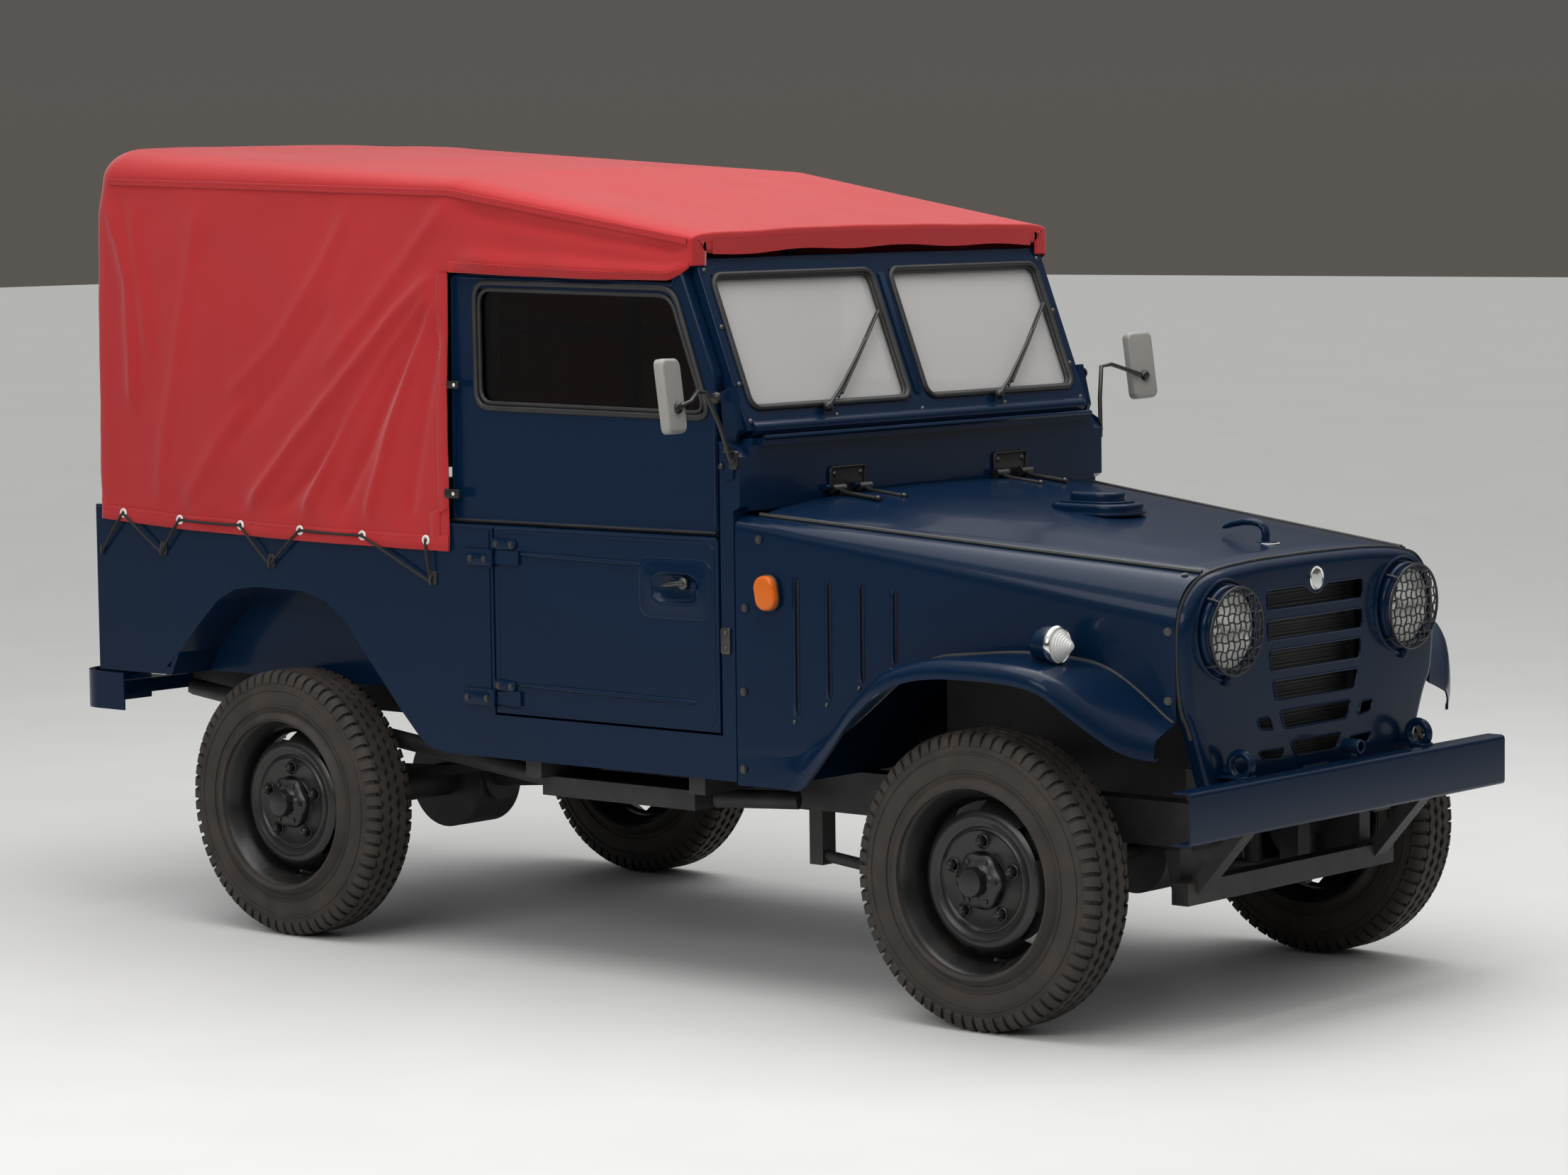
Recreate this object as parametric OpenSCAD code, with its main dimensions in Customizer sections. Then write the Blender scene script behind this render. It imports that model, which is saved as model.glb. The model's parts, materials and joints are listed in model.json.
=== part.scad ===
// Light army 4x4 field car with a canvas canopy, steel doors and full side screens.
// +X points forward, +Y to the car's left, +Z up. The origin is on the ground under the middle of the car.

/* [Overall] */
// Distance between the axles
wheelbase = 2200; // [2150:10:2700]
// Distance between the tyre centres of one axle
track = 1296; // [1260:4:1560]
// Front bumper face ahead of the front axle
front_overhang = 525; // [510:5:640]
// Rear bumper end behind the rear axle
rear_overhang = 795; // [780:5:960]
// Width over the body sides
body_w = 1380; // [1340:10:1660]
// Height of the belt line, where doors and body sides end
belt_z = 1055; // [1030:5:1120]

/* [Wheels] */
// Outer radius of a tyre
tyre_r = 335; // [300:1:350]
// Width of a tyre
tyre_w = 150; // [125:1:165]
// Radius of the rim at the bead seat
rim_r = 203; // [190:1:215]
// Largest steering angle
steer_max = 28; // [15:1:28]
// Radius of the wheel bolt circle
bolt_circle_r = 70; // [62:1:80]
// Diameter of a wheel bolt hole
bolt_d = 16; // [12:1:18]

/* [Body] */
// Thickness of a body wall, inner and outer skin together
wall = 34; // [28:1:42]
// Thickness of sheet panels such as wings and bonnet
sheet = 6; // [4:0.5:8]
// Thickness of the floor
floor_t = 20; // [12:1:24]
// Length of a lower door
door_len = 714; // [600:2:760]
// Gap around a door
door_gap = 6; // [5:0.5:10]
// Height of the sill's lower edge
sill_z = 500; // [480:5:520]
// Height of the cowl's top lip
cowl_top = 1287; // [1250:1:1310]

/* [Nose] */
// Half width of the bonnet at its front edge
bonnet_front_hw = 391; // [370:1:420]
// Height of the bonnet's front corners
bonnet_front_z = 1008; // [990:1:1030]
// Height of the bonnet's rear corners
bonnet_rear_z = 1112; // [1090:1:1130]
// Rise of the bonnet's middle over its edges
bonnet_crown = 36; // [20:1:50]
// Radius of a headlamp bezel
lamp_r = 97; // [80:1:105]
// Height of the headlamps
lamp_z = 885; // [860:1:900]
// Distance between the headlamp centres
lamp_span = 704; // [660:2:740]

/* [Screen and canopy] */
// Height of the lower edge of the glass
glass_z0 = 1347; // [1340:1:1380]
// Height of the upper edge of the glass
glass_z1 = 1652; // [1600:1:1700]
// Lean of the screen from upright
screen_lean = 21.6; // [10:0.2:30]
// Height of the roof's middle at the rear
roof_rear_z = 1986; // [1900:2:2100]
// Height of the roof's middle over the main hoop
roof_hoop_z = 1912; // [1880:2:1960]
// Thickness of the canvas
canvas_t = 5; // [4:0.5:8]
// Diameter of the hoop tubes
hoop_d = 28; // [20:1:36]

/* [Joints] */
// How far a door opens
door_open = 78; // [30:1:80]
// How far the bonnet opens
bonnet_open = 62; // [20:1:65]
// How far the tailgate drops
tailgate_open = 90; // [45:1:95]

/* [Hidden] */

$fn = 48;
eps = 0.3;      // running clearance at pins
hw = body_w / 2;

// stations along X
axle_f = wheelbase / 2 + (rear_overhang - front_overhang) / 2;
axle_r = axle_f - wheelbase;
nose_x = axle_f + front_overhang;
tail_x = axle_r - rear_overhang;
axle_z = tyre_r;
cowl_x = axle_f - 707;               // joint between wings and cowl
post_x = cowl_x - 40;                // rear face of the door post
door_x1 = post_x - door_gap - 2;     // front edge of a lower door
door_x0 = door_x1 - door_len;        // rear edge of a lower door
hinge_x = door_x0 - door_gap / 2;
hinge_y = hw + 10;
tub_x1 = door_x0 - door_gap;         // front end of the rear body side
tub_x0 = tail_x + 89;                // rear face of the body
grille_x = axle_f + 417;             // front face of the grille panel at lamp height
firewall_x = cowl_x + 110;

// wheels
wheel_y = track / 2;
kingpin_y = wheel_y - 73;
wheel_disc_y = wheel_y + 17;         // outer face of the wheel's mounting disc
flare_y = wheel_y + tyre_w / 2 + 64;

// chassis
rail_y = 330;
rail_w = 64;
rail_h = 100;
rail_z = sill_z - rail_h;            // underside of the rails between the axles
floor_rear_z = sill_z + 130;         // underside of the load floor

// screen: glass plane through (screen_x0, glass_z0), leaning back by screen_lean
screen_x0 = cowl_x - 23;
glass_hw = 611;
screen_post_y = 646;
pane_gap = 33;                       // half width of the middle bar

// canopy
hoop_x = tub_x1 - 132;
canopy_x0 = tub_x0 + 19;
canopy_x1 = screen_x0 - 110;
flap_z0 = 1648;
flap_z1 = 1668;
curtain_x = hoop_x - 4;              // front edge of the side curtain
hem_z = belt_z - 60;
top_y = 672;                         // outer face of a side screen
top_t = 20;

tailgate_hw = 560;
tailgate_z0 = floor_rear_z + 12;
tailgate_axis_x = tub_x0 - 12;
tailgate_hinge_y = [-400, -20, 360];
bumper_z0 = 445;
bumper_z1 = 563;

paint = "#16324f";
dark = "#2b2d30";
black = "#1a1a1b";
canvas = "#c8262c";

// ---------- helpers ----------

function flat(lists) = [for (part = lists) for (item = part) item];
function arc(cx, cy, r, a0, a1, n) = [for (i = [0:n]) let (a = a0 + (a1 - a0) * i / n) [cx + r * cos(a), cy + r * sin(a)]];
function reversed(list) = [for (i = [len(list) - 1:-1:0]) list[i]];
function mirrored(list) = [for (i = [len(list) - 1:-1:0]) [-list[i][0], list[i][1]]];

// solid through equal rings of points, from the first ring to the last
module loft(rings, flip = false) {
    n = len(rings[0]);
    last = (len(rings) - 1) * n;
    sides = [
        for (i = [0:len(rings) - 2])
            for (j = [0:n - 1])
                let (a = i * n + j, b = i * n + (j + 1) % n)
                    for (t = [[a, b, b + n], [a, b + n, a + n]]) t
    ];
    ends = [[for (j = [n - 1:-1:0]) j], [for (j = [0:n - 1]) last + j]];
    faces = concat(sides, ends);
    polyhedron(flat(rings), flip ? [for (f = faces) reversed(f)] : faces, convexity = 8);
}

// plate with an outline in X and Z, from y0 to y1
module side_plate(points, y0, y1) {
    translate([0, max(y0, y1), 0])
        rotate([90, 0, 0])
            linear_extrude(abs(y1 - y0))
                polygon(points);
}

// plate with an outline in Y and Z, from x0 to x1
module front_plate(x0, x1) {
    translate([x0, 0, 0])
        rotate([90, 0, 90])
            linear_extrude(x1 - x0)
                children();
}

module box(x0, x1, y0, y1, z0, z1) {
    translate([min(x0, x1), min(y0, y1), min(z0, z1)])
        cube([abs(x1 - x0), abs(y1 - y0), abs(z1 - z0)]);
}

module both_sides() {
    children();
    mirror([0, 1, 0])
        children();
}

// round bar between two points
module bar(a, b, r, fn = 24) {
    d = b - a;
    translate(a)
        rotate([0, acos(d[2] / norm(d)), atan2(d[1], d[0])])
            cylinder(h = norm(d), r = r, $fn = fn);
}

module round_rect(w, h, r) {
    hull()
        for (x = [-w / 2 + r, w / 2 - r], y = [-h / 2 + r, h / 2 - r])
            translate([x, y])
                circle(r, $fn = 24);
}

// ---------- chassis ----------

module rail_outline() {
    polygon([
        [tub_x0 + 8, floor_rear_z], [tub_x0 + 8, floor_rear_z - 90], [axle_r + 380, floor_rear_z - 90],
        [door_x0 - 60, rail_z], [nose_x - 170, rail_z], [nose_x - 110, bumper_z0 + 12],
        [nose_x - 25, bumper_z0 + 12], [nose_x - 25, sill_z], [door_x0 - 20, sill_z], [axle_r + 460, floor_rear_z]
    ]);
}

module chassis_frame() color(dark) {
    both_sides()
        translate([0, rail_y + rail_w, 0])
            rotate([90, 0, 0])
                linear_extrude(rail_w)
                    rail_outline();
    // cross members
    for (x = [tub_x0 + 8, axle_r + 330])
        box(x, x + 60, -rail_y - 1, rail_y + 1, floor_rear_z - 80, floor_rear_z - 10);
    box(door_x0 + 120, door_x0 + 180, -rail_y - 1, rail_y + 1, sill_z - 52, sill_z - 6);
    box(firewall_x + 200, firewall_x + 260, -rail_y - 1, rail_y + 1, rail_z + 5, rail_z + 45);
    box(nose_x - 150, nose_x - 90, -rail_y - 1, rail_y + 1, sill_z - 38, sill_z - 5);
    box(axle_f - 45, axle_f + 45, -rail_y - 1, rail_y + 1, rail_z + 25, rail_z + 55);
    // outriggers that carry the sills
    both_sides() {
        for (x = [door_x0 + 60, door_x1 - 130])
            box(x, x + 50, rail_y + rail_w - 1, hw - wall, sill_z - 45, sill_z);
        // rear spring hangers
        for (x = [axle_r - 430, axle_r + 400])
            box(x, x + 50, rail_y + 12, rail_y + 52, axle_z + 100, floor_rear_z - 60);
    }
    // tow pintle
    translate([tub_x0 - 2, 0, floor_rear_z - 45])
        rotate([0, 90, 0])
            cylinder(h = 12, r = 45);
}

// ---------- drive ----------

module engine_block() color("#3a3d40") {
    box(firewall_x + 90, axle_f + 190, -165, 165, rail_z + 60, 905);
    // mounts down to the rails
    both_sides()
        box(firewall_x + 330, firewall_x + 400, 160, rail_y + 30, sill_z, sill_z + 40);
}

module driveline() color("#33363a") {
    // gearbox and transfer case
    translate([firewall_x + 90, 0, sill_z + 10])
        rotate([0, -90, 0])
            cylinder(h = 420, r1 = 120, r2 = 85);
    box(door_x0 + 190, firewall_x - 320, -125, 105, sill_z - 150, sill_z + 95);
    // rear shaft
    bar([door_x0 + 192, -60, sill_z - 85], [axle_r + 131.5, -60, axle_z + 10], 27);
    // front shaft
    bar([firewall_x - 322, 60, sill_z - 100], [axle_f - 132.6, 60, axle_z - 5], 24);
}

module exhaust() color("#4b4642") {
    box(door_x0 + 70, door_x0 + 560, -610, -450, sill_z - 92, sill_z - 45 - eps);
    bar([door_x0 + 75, -530, sill_z - 70], [tub_x0 + 120, -470, floor_rear_z - 60], 22);
    bar([door_x0 + 555, -530, sill_z - 71], [door_x1 + 30, -450, sill_z - 70], 22);
}

// ---------- body ----------

bonnet_axis_x = cowl_x + 28;
bonnet_axis_z = bonnet_rear_z + 48;
bonnet_hinge_y = [240, 345];

arch_top_z = axle_z + 537;

// lower edge of the rear body side, from the tail forward to the sill
function rear_lower_edge() = concat(
    [[tub_x0, floor_rear_z]],
    [[axle_r - 505, floor_rear_z], [axle_r - 455, floor_rear_z + 14], [axle_r - 400, floor_rear_z + 60]],
    arc_in_arch(),
    [[axle_r + 300, axle_z + 372], [axle_r + 405, axle_z + 258], [axle_r + 465, sill_z + 34],
     [axle_r + 500, sill_z + 10], [axle_r + 560, sill_z]]
);

function arc_in_arch() = [
    [axle_r - 310, arch_top_z - 95], [axle_r - 250, arch_top_z - 42], [axle_r - 185, arch_top_z - 10],
    [axle_r - 110, arch_top_z], [axle_r + 60, arch_top_z - 2], [axle_r + 140, arch_top_z - 22],
    [axle_r + 212, arch_top_z - 68]
];

module rear_side_outline() {
    polygon(concat(rear_lower_edge(), [[tub_x1, sill_z], [tub_x1, belt_z], [tub_x0, belt_z]]));
}

// space of one wheel in the tub, seen from the side
module arch_outline() {
    polygon(concat(
        [[axle_r - 430, sill_z - 60], [axle_r - 430, floor_rear_z]],
        [[axle_r - 400, floor_rear_z + 60]],
        arc_in_arch(),
        [[axle_r + 300, axle_z + 372], [axle_r + 405, axle_z + 258], [axle_r + 455, sill_z - 60]]
    ));
}

box_y = wheel_y - tyre_w / 2 - 33;     // inner face of the wheel boxes

module body_tub() color(paint) {
    difference() {
        union() {
            // sides behind the doors
            both_sides()
                translate([0, hw, 0])
                    rotate([90, 0, 0])
                        linear_extrude(wall)
                            rear_side_outline();
            // load floor with the sill under the tailgate, and the heel board
            box(tub_x0 + wall + 6, tub_x1, -hw + 1, hw - 1, floor_rear_z, floor_rear_z + floor_t);
            box(tub_x0, tub_x0 + wall + 8, -hw + 1, hw - 1, floor_rear_z, floor_rear_z + 6);
            box(tub_x1 - 1, tub_x1 + 20, -hw + wall + 8, hw - wall - 8, sill_z, floor_rear_z + floor_t);
            for (y = tailgate_hinge_y)
                tailgate_lug(y + 40 + eps);
            both_sides()
                body_hinges();
            // wheel boxes
            both_sides()
                translate([0, hw - 1, 0])
                    rotate([90, 0, 0])
                        linear_extrude(hw - 1 - box_y)
                            intersection() {
                                offset(delta = 14)
                                    arch_outline();
                                translate([axle_r - 480, floor_rear_z])
                                    square([1000, belt_z - floor_rear_z - 60]);
                            }
            // front floor, sills and tunnel
            box(tub_x1, firewall_x, -hw + wall, hw - wall, sill_z, sill_z + floor_t);
            both_sides()
                box(tub_x1 - 1, cowl_x, hw - wall, hw, sill_z, sill_z + 104);
            box(tub_x1 + 1, firewall_x, -190, 190, sill_z, sill_z + 165);
            // rear corner posts beside the tailgate
            both_sides()
                box(tub_x0, tub_x0 + wall, tailgate_hw + 6, hw - 1, floor_rear_z, belt_z);
        }
        both_sides()
            side_cut(box_y + 14, hw + 1)
                arch_outline();
        // tunnel is hollow from below
        box(tub_x1 - 40, firewall_x + 1, -176, 176, sill_z - 1, sill_z + 151);
    }
}

// fixed eye of a tailgate hinge
module tailgate_lug(y) {
    translate([tailgate_axis_x, y, tailgate_z0])
        rotate([-90, 0, 0])
            cylinder(h = 15, r = 9);
    box(tailgate_axis_x - 6, tailgate_axis_x + 6, y, y + 15, floor_rear_z, tailgate_z0);
    box(tailgate_axis_x, tub_x0 + 4, y, y + 15, floor_rear_z, floor_rear_z + 6);
}

module side_cut(y0, y1) {
    translate([0, y1, 0])
        rotate([90, 0, 0])
            linear_extrude(y1 - y0)
                children();
}

module cowl() color(paint) {
    top_x = cowl_x + 20;
    difference() {
        union() {
            // side posts from sill to belt and up to the scuttle
            both_sides()
                side_plate([
                    [post_x, sill_z + 104], [cowl_x, sill_z + 104], [cowl_x, bonnet_rear_z + 9],
                    [top_x, bonnet_rear_z + 21], [top_x, cowl_top - 40],
                    [top_x - 30, cowl_top - 12], [post_x, cowl_top - 12]
                ], hw - wall, hw);
            // scuttle box
            front_plate(post_x, cowl_x)
                scuttle_outline(bonnet_rear_z - 62);
            front_plate(cowl_x - 1, top_x)
                scuttle_outline(bonnet_rear_z + 10);
            // lip under the windscreen
            front_plate(top_x - 1, cowl_x + 37)
                translate([0, cowl_top - 8])
                    square([2 * 627, 16], center = true);
            // bulkhead and toe board
            box(firewall_x, firewall_x + 14, -hw + wall + 2, hw - wall - 2, sill_z, bonnet_rear_z - 60);
            box(cowl_x - 1, firewall_x + 14, -hw + wall + 2, hw - wall - 2, bonnet_rear_z - 66, bonnet_rear_z - 52);
        }
        // room for legs behind the scuttle
        box(post_x - 1, cowl_x - 8, -hw + wall, hw - wall, belt_z + 30, cowl_top - 60);
        // opening for the gearbox, in line with the tunnel
        box(firewall_x - 1, firewall_x + 15, -176, 176, sill_z - 1, sill_z + 151);
    }
    // fixed eyes of the bonnet hinges
    both_sides()
        for (y = bonnet_hinge_y) {
            translate([bonnet_axis_x, y + 36 + eps, bonnet_axis_z])
                rotate([-90, 0, 0])
                    cylinder(h = 16, r = 7);
            box(top_x - 1, bonnet_axis_x, y + 36 + eps, y + 52, bonnet_axis_z - 6, bonnet_axis_z + 6);
        }
}

module scuttle_outline(z0) {
    polygon(concat(
        [[-hw + wall - 1, z0], [-hw + wall - 1, cowl_top - 20]],
        [[-hw + wall + 14, cowl_top]],
        [[hw - wall - 14, cowl_top]],
        [[hw - wall + 1, cowl_top - 20], [hw - wall + 1, z0]]
    ));
}

// ---------- nose ----------

wing_x0 = cowl_x + 2;
wing_x1 = grille_x - 20;

function nose_t(x) = (x - cowl_x) / (wing_x1 - cowl_x);
function seal_y(x) = (hw - 42) + (bonnet_front_hw + 8 - (hw - 42)) * nose_t(x);
function seal_z(x) = bonnet_rear_z + (bonnet_front_z - bonnet_rear_z) * nose_t(x);
function wing_y(x) = hw - 2 + (bonnet_front_hw + 114 - (hw - 2)) * pow(nose_t(x), 0.96);

// height of the line where mudguard and wing meet
function bead_z(x) = lookup(x, [
    [wing_x0, sill_z + 60], [axle_f - 545, sill_z + 70], [axle_f - 430, axle_z + 290], [axle_f - 330, axle_z + 375],
    [axle_f - 235, axle_z + 455], [axle_f - 175, axle_z + 479], [axle_f - 10, axle_z + 494],
    [axle_f + 45, axle_z + 496], [axle_f + 165, axle_z + 488], [axle_f + 225, axle_z + 476], [axle_f + 280, axle_z + 447],
    [axle_f + 340, axle_z + 400], [wing_x1, axle_z + 350]
]);

// lower edge of the mudguard's lip
function lip_z(x) = lookup(x, [
    [wing_x0, sill_z - 8], [axle_f - 560, sill_z - 10], [axle_f - 545, axle_z + 142], [axle_f - 430, axle_z + 246],
    [axle_f - 330, axle_z + 335], [axle_f - 235, axle_z + 400], [axle_f - 175, axle_z + 427],
    [axle_f - 105, axle_z + 445], [axle_f - 35, axle_z + 453], [axle_f + 75, axle_z + 454],
    [axle_f + 165, axle_z + 451], [axle_f + 233, axle_z + 439], [axle_f + 265, axle_z + 417],
    [axle_f + 295, axle_z + 382], [axle_f + 338, axle_z + 325], [axle_f + 367, axle_z + 290],
    [axle_f + 383, axle_z + 282], [wing_x1, axle_z + 280]
]);

lip_h = 42;                          // height of the rolled edge of a mudguard

// how far out the mudguard stands, 0 at the wing side and 1 at its full width
function flare(x) = lookup(x, [
    [wing_x0, 0], [axle_f - 560, 0.02], [axle_f - 430, 0.42], [axle_f - 330, 0.72], [axle_f - 235, 0.92],
    [axle_f - 135, 1], [axle_f + 225, 1], [axle_f + 265, 0.96], [axle_f + 295, 0.86], [axle_f + 338, 0.64],
    [axle_f + 367, 0.48], [axle_f + 383, 0.36], [wing_x1, 0.22]
]);

function lip_y(x) = wing_y(x) + (flare_y - wing_y(x)) * flare(x);

// outer line of the wing at one station, from the bonnet seal down to the mudguard's lip
function wing_line(x) =
    let (y0 = seal_y(x), z0 = seal_z(x), y1 = wing_y(x), drop = 26 + 84 * nose_t(x))
    let (z2 = lip_z(x), zb = bead_z(x), out = lip_y(x) - y1 + 2, z1 = z2 + lip_h)
        concat(
            [[y0, z0]],
            [for (a = [15:15:75]) [y0 + (y1 - y0) * sin(a), z0 - drop * (1 - cos(a))]],
            [[y1, z0 - drop], [y1 + 1, (z0 - drop + zb) / 2], [y1, zb]],
            [for (t = [0.3, 0.6, 0.86]) [y1 + out * t, zb + (z1 - zb) * t]],
            [[y1 + out * 0.95, z1 - 6], [y1 + out * 0.99, z1 - 17], [y1 + out, z1 - 29], [y1 + out, z2]]
        );

// the same line moved inwards by t
function inner_line(pts, t) =
    let (last = len(pts) - 1)
        [for (i = [0:last])
            let (d = pts[min(i + 1, last)] - pts[max(i - 1, 0)])
                pts[i] + [d[1], -d[0]] * (t / norm(d))];

function wing_ring(x) =
    let (outer = wing_line(x))
        [for (p = concat(outer, reversed(inner_line(outer, sheet)))) [x, p[0], p[1]]];

wing_stations = concat(
    [wing_x0, wing_x0 + 60, axle_f - 600, axle_f - 561, axle_f - 544],
    [for (i = [0:20]) axle_f - 500 + i * (wing_x1 - axle_f + 500) / 20]
);

module front_wings() color(paint) {
    both_sides()
        loft([for (x = wing_stations) wing_ring(x)], true);
}

// front outline of the grille panel: top follows the bonnet, sides follow the wings
function grille_outline() =
    let (top = bonnet_front_z, r = 96, w = bonnet_front_hw + 108)
    let (right = concat(
        [[0, top + 20], [bonnet_front_hw * 0.5, top + 13], [bonnet_front_hw - 12, top - 6]],
        [for (a = [70:-14:0]) [w - r + r * cos(a), top - 16 - r + r * sin(a)]],
        [[w, lamp_z - 60], [w - 12, lamp_z - 160], [bonnet_front_hw + 68, axle_z + 345], [bonnet_front_hw + 2, sill_z + 20],
         [0, sill_z + 20]]
    ))
    concat(right, [for (i = [len(right) - 2:-1:1]) [-right[i][0], right[i][1]]]);

slots = [
    // half width at the top, half width at the bottom, top, bottom
    [190, 189, 959, 913], [189, 187, 891, 845], [182, 177, 824, 777], [170, 157, 755, 709],
    [143, 125, 686, 644], [103, 81, 615, 578], [49, 42, 551, 540]
];

// frame of the grille panel: its front face at lamp height, leaning forwards
module on_grille() {
    translate([grille_x, 0, lamp_z])
        rotate([0, 3, 0])
            children();
}

module grille_panel() color(paint) {
    difference() {
        on_grille()
                translate([-26, 0, -lamp_z])
                    front_plate(0, 26)
                        difference() {
                            polygon(grille_outline());
                            for (s = slots)
                                offset(r = 8)
                                    polygon([
                                        [-s[0] + 8, s[2] - 8], [s[0] - 8, s[2] - 8],
                                        [s[1] - 8, s[3] + 5], [-s[1] + 8, s[3] + 5]
                                    ]);
                            for (m = [-1, 1])
                                offset(r = 6) {
                                    polygon([[m * 182, 678], [m * 230, 678], [m * 222, 652], [m * 168, 646]]);
                                    polygon([[m * 128, 602], [m * 226, 604], [m * 208, 582], [m * 132, 578]]);
                                }
                        }
        on_grille()
            for (m = [-1, 1])
                translate([-60, m * lamp_span / 2, 0])
                    rotate([0, 90, 0])
                        cylinder(h = 120, r = lamp_r - 9);
    }
}

module radiator() color("#26282a") {
    box(grille_x - 110, grille_x - 50, -235, 235, sill_z + 45, 965);
    both_sides()
        box(grille_x - 105, grille_x - 55, 234, rail_y + 20, sill_z, sill_z + 70);
}

function bonnet_line(x, drop) =
    let (w = seal_y(x) - 13, z = seal_z(x) + 2 - drop, c = bonnet_crown * (1 - 0.45 * nose_t(x)))
        [for (i = [-6:6]) let (t = i / 6) [w * t, z + c * (1 - t * t * (0.55 + 0.45 * t * t))]];

function bonnet_ring(x) =
    [for (p = concat(bonnet_line(x, 0), reversed(bonnet_line(x, 16)))) [x, p[0], p[1]]];

bonnet_x0 = cowl_x + 27;
bonnet_x1 = grille_x - 26;
module bonnet() color(paint) {
    loft([for (i = [0:8]) bonnet_ring(bonnet_x0 + 6 + (bonnet_x1 - bonnet_x0 - 6) * i / 8)]);
    // hinge leaves up to the pivots on the cowl
    both_sides()
        for (y = bonnet_hinge_y) {
            translate([bonnet_axis_x, y, bonnet_axis_z])
                rotate([-90, 0, 0])
                    cylinder(h = 36, r = 7);
            box(bonnet_axis_x, bonnet_axis_x + 6, y, y + 36, bonnet_rear_z + 17, bonnet_axis_z);
            box(bonnet_axis_x, bonnet_axis_x + 50, y, y + 36, bonnet_rear_z + 17, bonnet_rear_z + 38);
        }
}

// ---------- windscreen ----------

module on_screen() {
    translate([screen_x0, 0, glass_z0])
        rotate([0, -screen_lean, 0])
            children();
}

pane_h = (glass_z1 - glass_z0) / cos(screen_lean);
pane_w = glass_hw - pane_gap;

// side view of a windscreen pivot bracket above the height z
function bracket_outline(z) = [
    [cowl_x - 52, glass_z0 + 45], [cowl_x - 22, glass_z0 + 58], [cowl_x + 2, glass_z0 - 40],
    [cowl_x - 10, z], [cowl_x - 38, z]
];

module windscreen_frame() color(paint) {
    on_screen()
        difference() {
            translate([-16, -screen_post_y, -52])
                cube([32, 2 * screen_post_y, pane_h + 52 + 42]);
            both_sides()
                translate([-40, pane_gap, 0])
                    cube([80, pane_w, pane_h]);
        }
    // pivot plates down to the cowl sides
    both_sides() {
        side_plate(bracket_outline(cowl_top + 5), screen_post_y - 1, hw - wall + 4);
        side_plate(bracket_outline(cowl_top - 12 + eps), hw - wall + 3, hw - wall + 16);
        box(cowl_x - 38, cowl_x - 10, hw - wall + 15, hw + 5, cowl_top - 12 + eps, cowl_top - 6);
        side_plate([
            [cowl_x - 38, cowl_top - 7], [cowl_x - 10, cowl_top - 7], [cowl_x + 14, cowl_top - 20],
            [cowl_x + 4, cowl_top - 90], [cowl_x - 20, cowl_top - 95]
        ], hw + eps, hw + 5);
    }
    // base rail on the cowl
    translate([screen_x0 + 22, -screen_post_y + 20, cowl_top + 19])
        rotate([-90, 0, 0])
            cylinder(h = 2 * screen_post_y - 40, r = 18.7);
}

module windscreen_glass() color("#9fb4bd", 0.4) {
    on_screen()
        both_sides()
            translate([-3, pane_gap, 0])
                cube([6, pane_w, pane_h]);
}

module wipers() color(black) {
    on_screen()
        for (y = [-360, 290]) {
            bar([30, y, -12], [26, y + 210, 150], 3, 12);
            bar([22, y + 60, 12], [22, y + 300, 222], 3.5, 12);
            translate([16 + eps, y, -12])
                rotate([0, 90, 0])
                    cylinder(h = 18, r = 11);
            bar([22, y + 210, 143], [27, y + 210, 150], 4, 12);
        }
}

// ---------- doors ----------

module lower_door() {
    difference() {
        side_plate([
            [door_x0, sill_z + 110], [door_x1, sill_z + 110], [door_x1, belt_z], [door_x0, belt_z]
        ], hw - wall, hw);
        // handle recess
        translate([door_x1 - 200, hw - 14, belt_z - 150])
            cube([170, 20, 70]);
    }
    // hinge straps and moving barrels
    for (z = [belt_z - 70, sill_z + 148]) {
        box(door_x0 + 8, door_x0 + 85, hw - 1, hw + 7, z - 17, z + 17);
        box(hinge_x, door_x0 + 9, hw + 3, hw + 6, z - 17, z);
        translate([hinge_x, hinge_y, z - 17])
            cylinder(h = 17, r = 8);
    }
    // slide knob in the recess
    translate([door_x1 - 70, hw - 15, belt_z - 110])
        rotate([-90, 0, 0])
            cylinder(h = 24, r = 9);
}

module body_hinges() {
    for (z = [belt_z - 70, sill_z + 148]) {
        box(hinge_x - 96, hinge_x, hw - 1, hw + 6, z + 1, z + 18);
        translate([hinge_x, hinge_y, z + eps])
            cylinder(h = 17.7, r = 8);
    }
}

slant = tan(screen_lean);

// outline of a side screen above the belt
function screen_outline() = let (z0 = belt_z + 6, x1 = door_x1 - 14, zt = flap_z1 - 8)
    [
        [curtain_x - 14, z0], [x1, z0], [x1, glass_z0 + 83], [screen_x0 - 142, flap_z0 + 34],
        [canopy_x1 - 54, flap_z0 + 34], [canopy_x1 - 54, flap_z0 - 7], [curtain_x + 6, zt - 1],
        [curtain_x - 6, zt - 4]
    ];

// outline of the window in it
function window_outline() = [
    [hinge_x - 52, belt_z + 298], [door_x1 - 48, belt_z + 290],
    [door_x1 - 152, flap_z0 - 37], [hinge_x - 54, flap_z0 - 24]
];

module door_top() {
    difference() {
        side_plate(screen_outline(), top_y - top_t, top_y);
        side_cut(top_y - top_t - 1, top_y + 1)
            polygon(window_outline());
    }
    // pegs down into the lower door
    for (x = [door_x0 + 90, door_x1 - 90])
        box(x, x + 40, top_y - top_t + 2, top_y - 2, belt_z, belt_z + 8);
}

module door_glass() {
    side_cut(top_y - top_t / 2 - 2.5, top_y - top_t / 2 + 2.5)
        offset(delta = -eps)
            polygon(window_outline());
}

module door_left() color(paint) lower_door();

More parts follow.
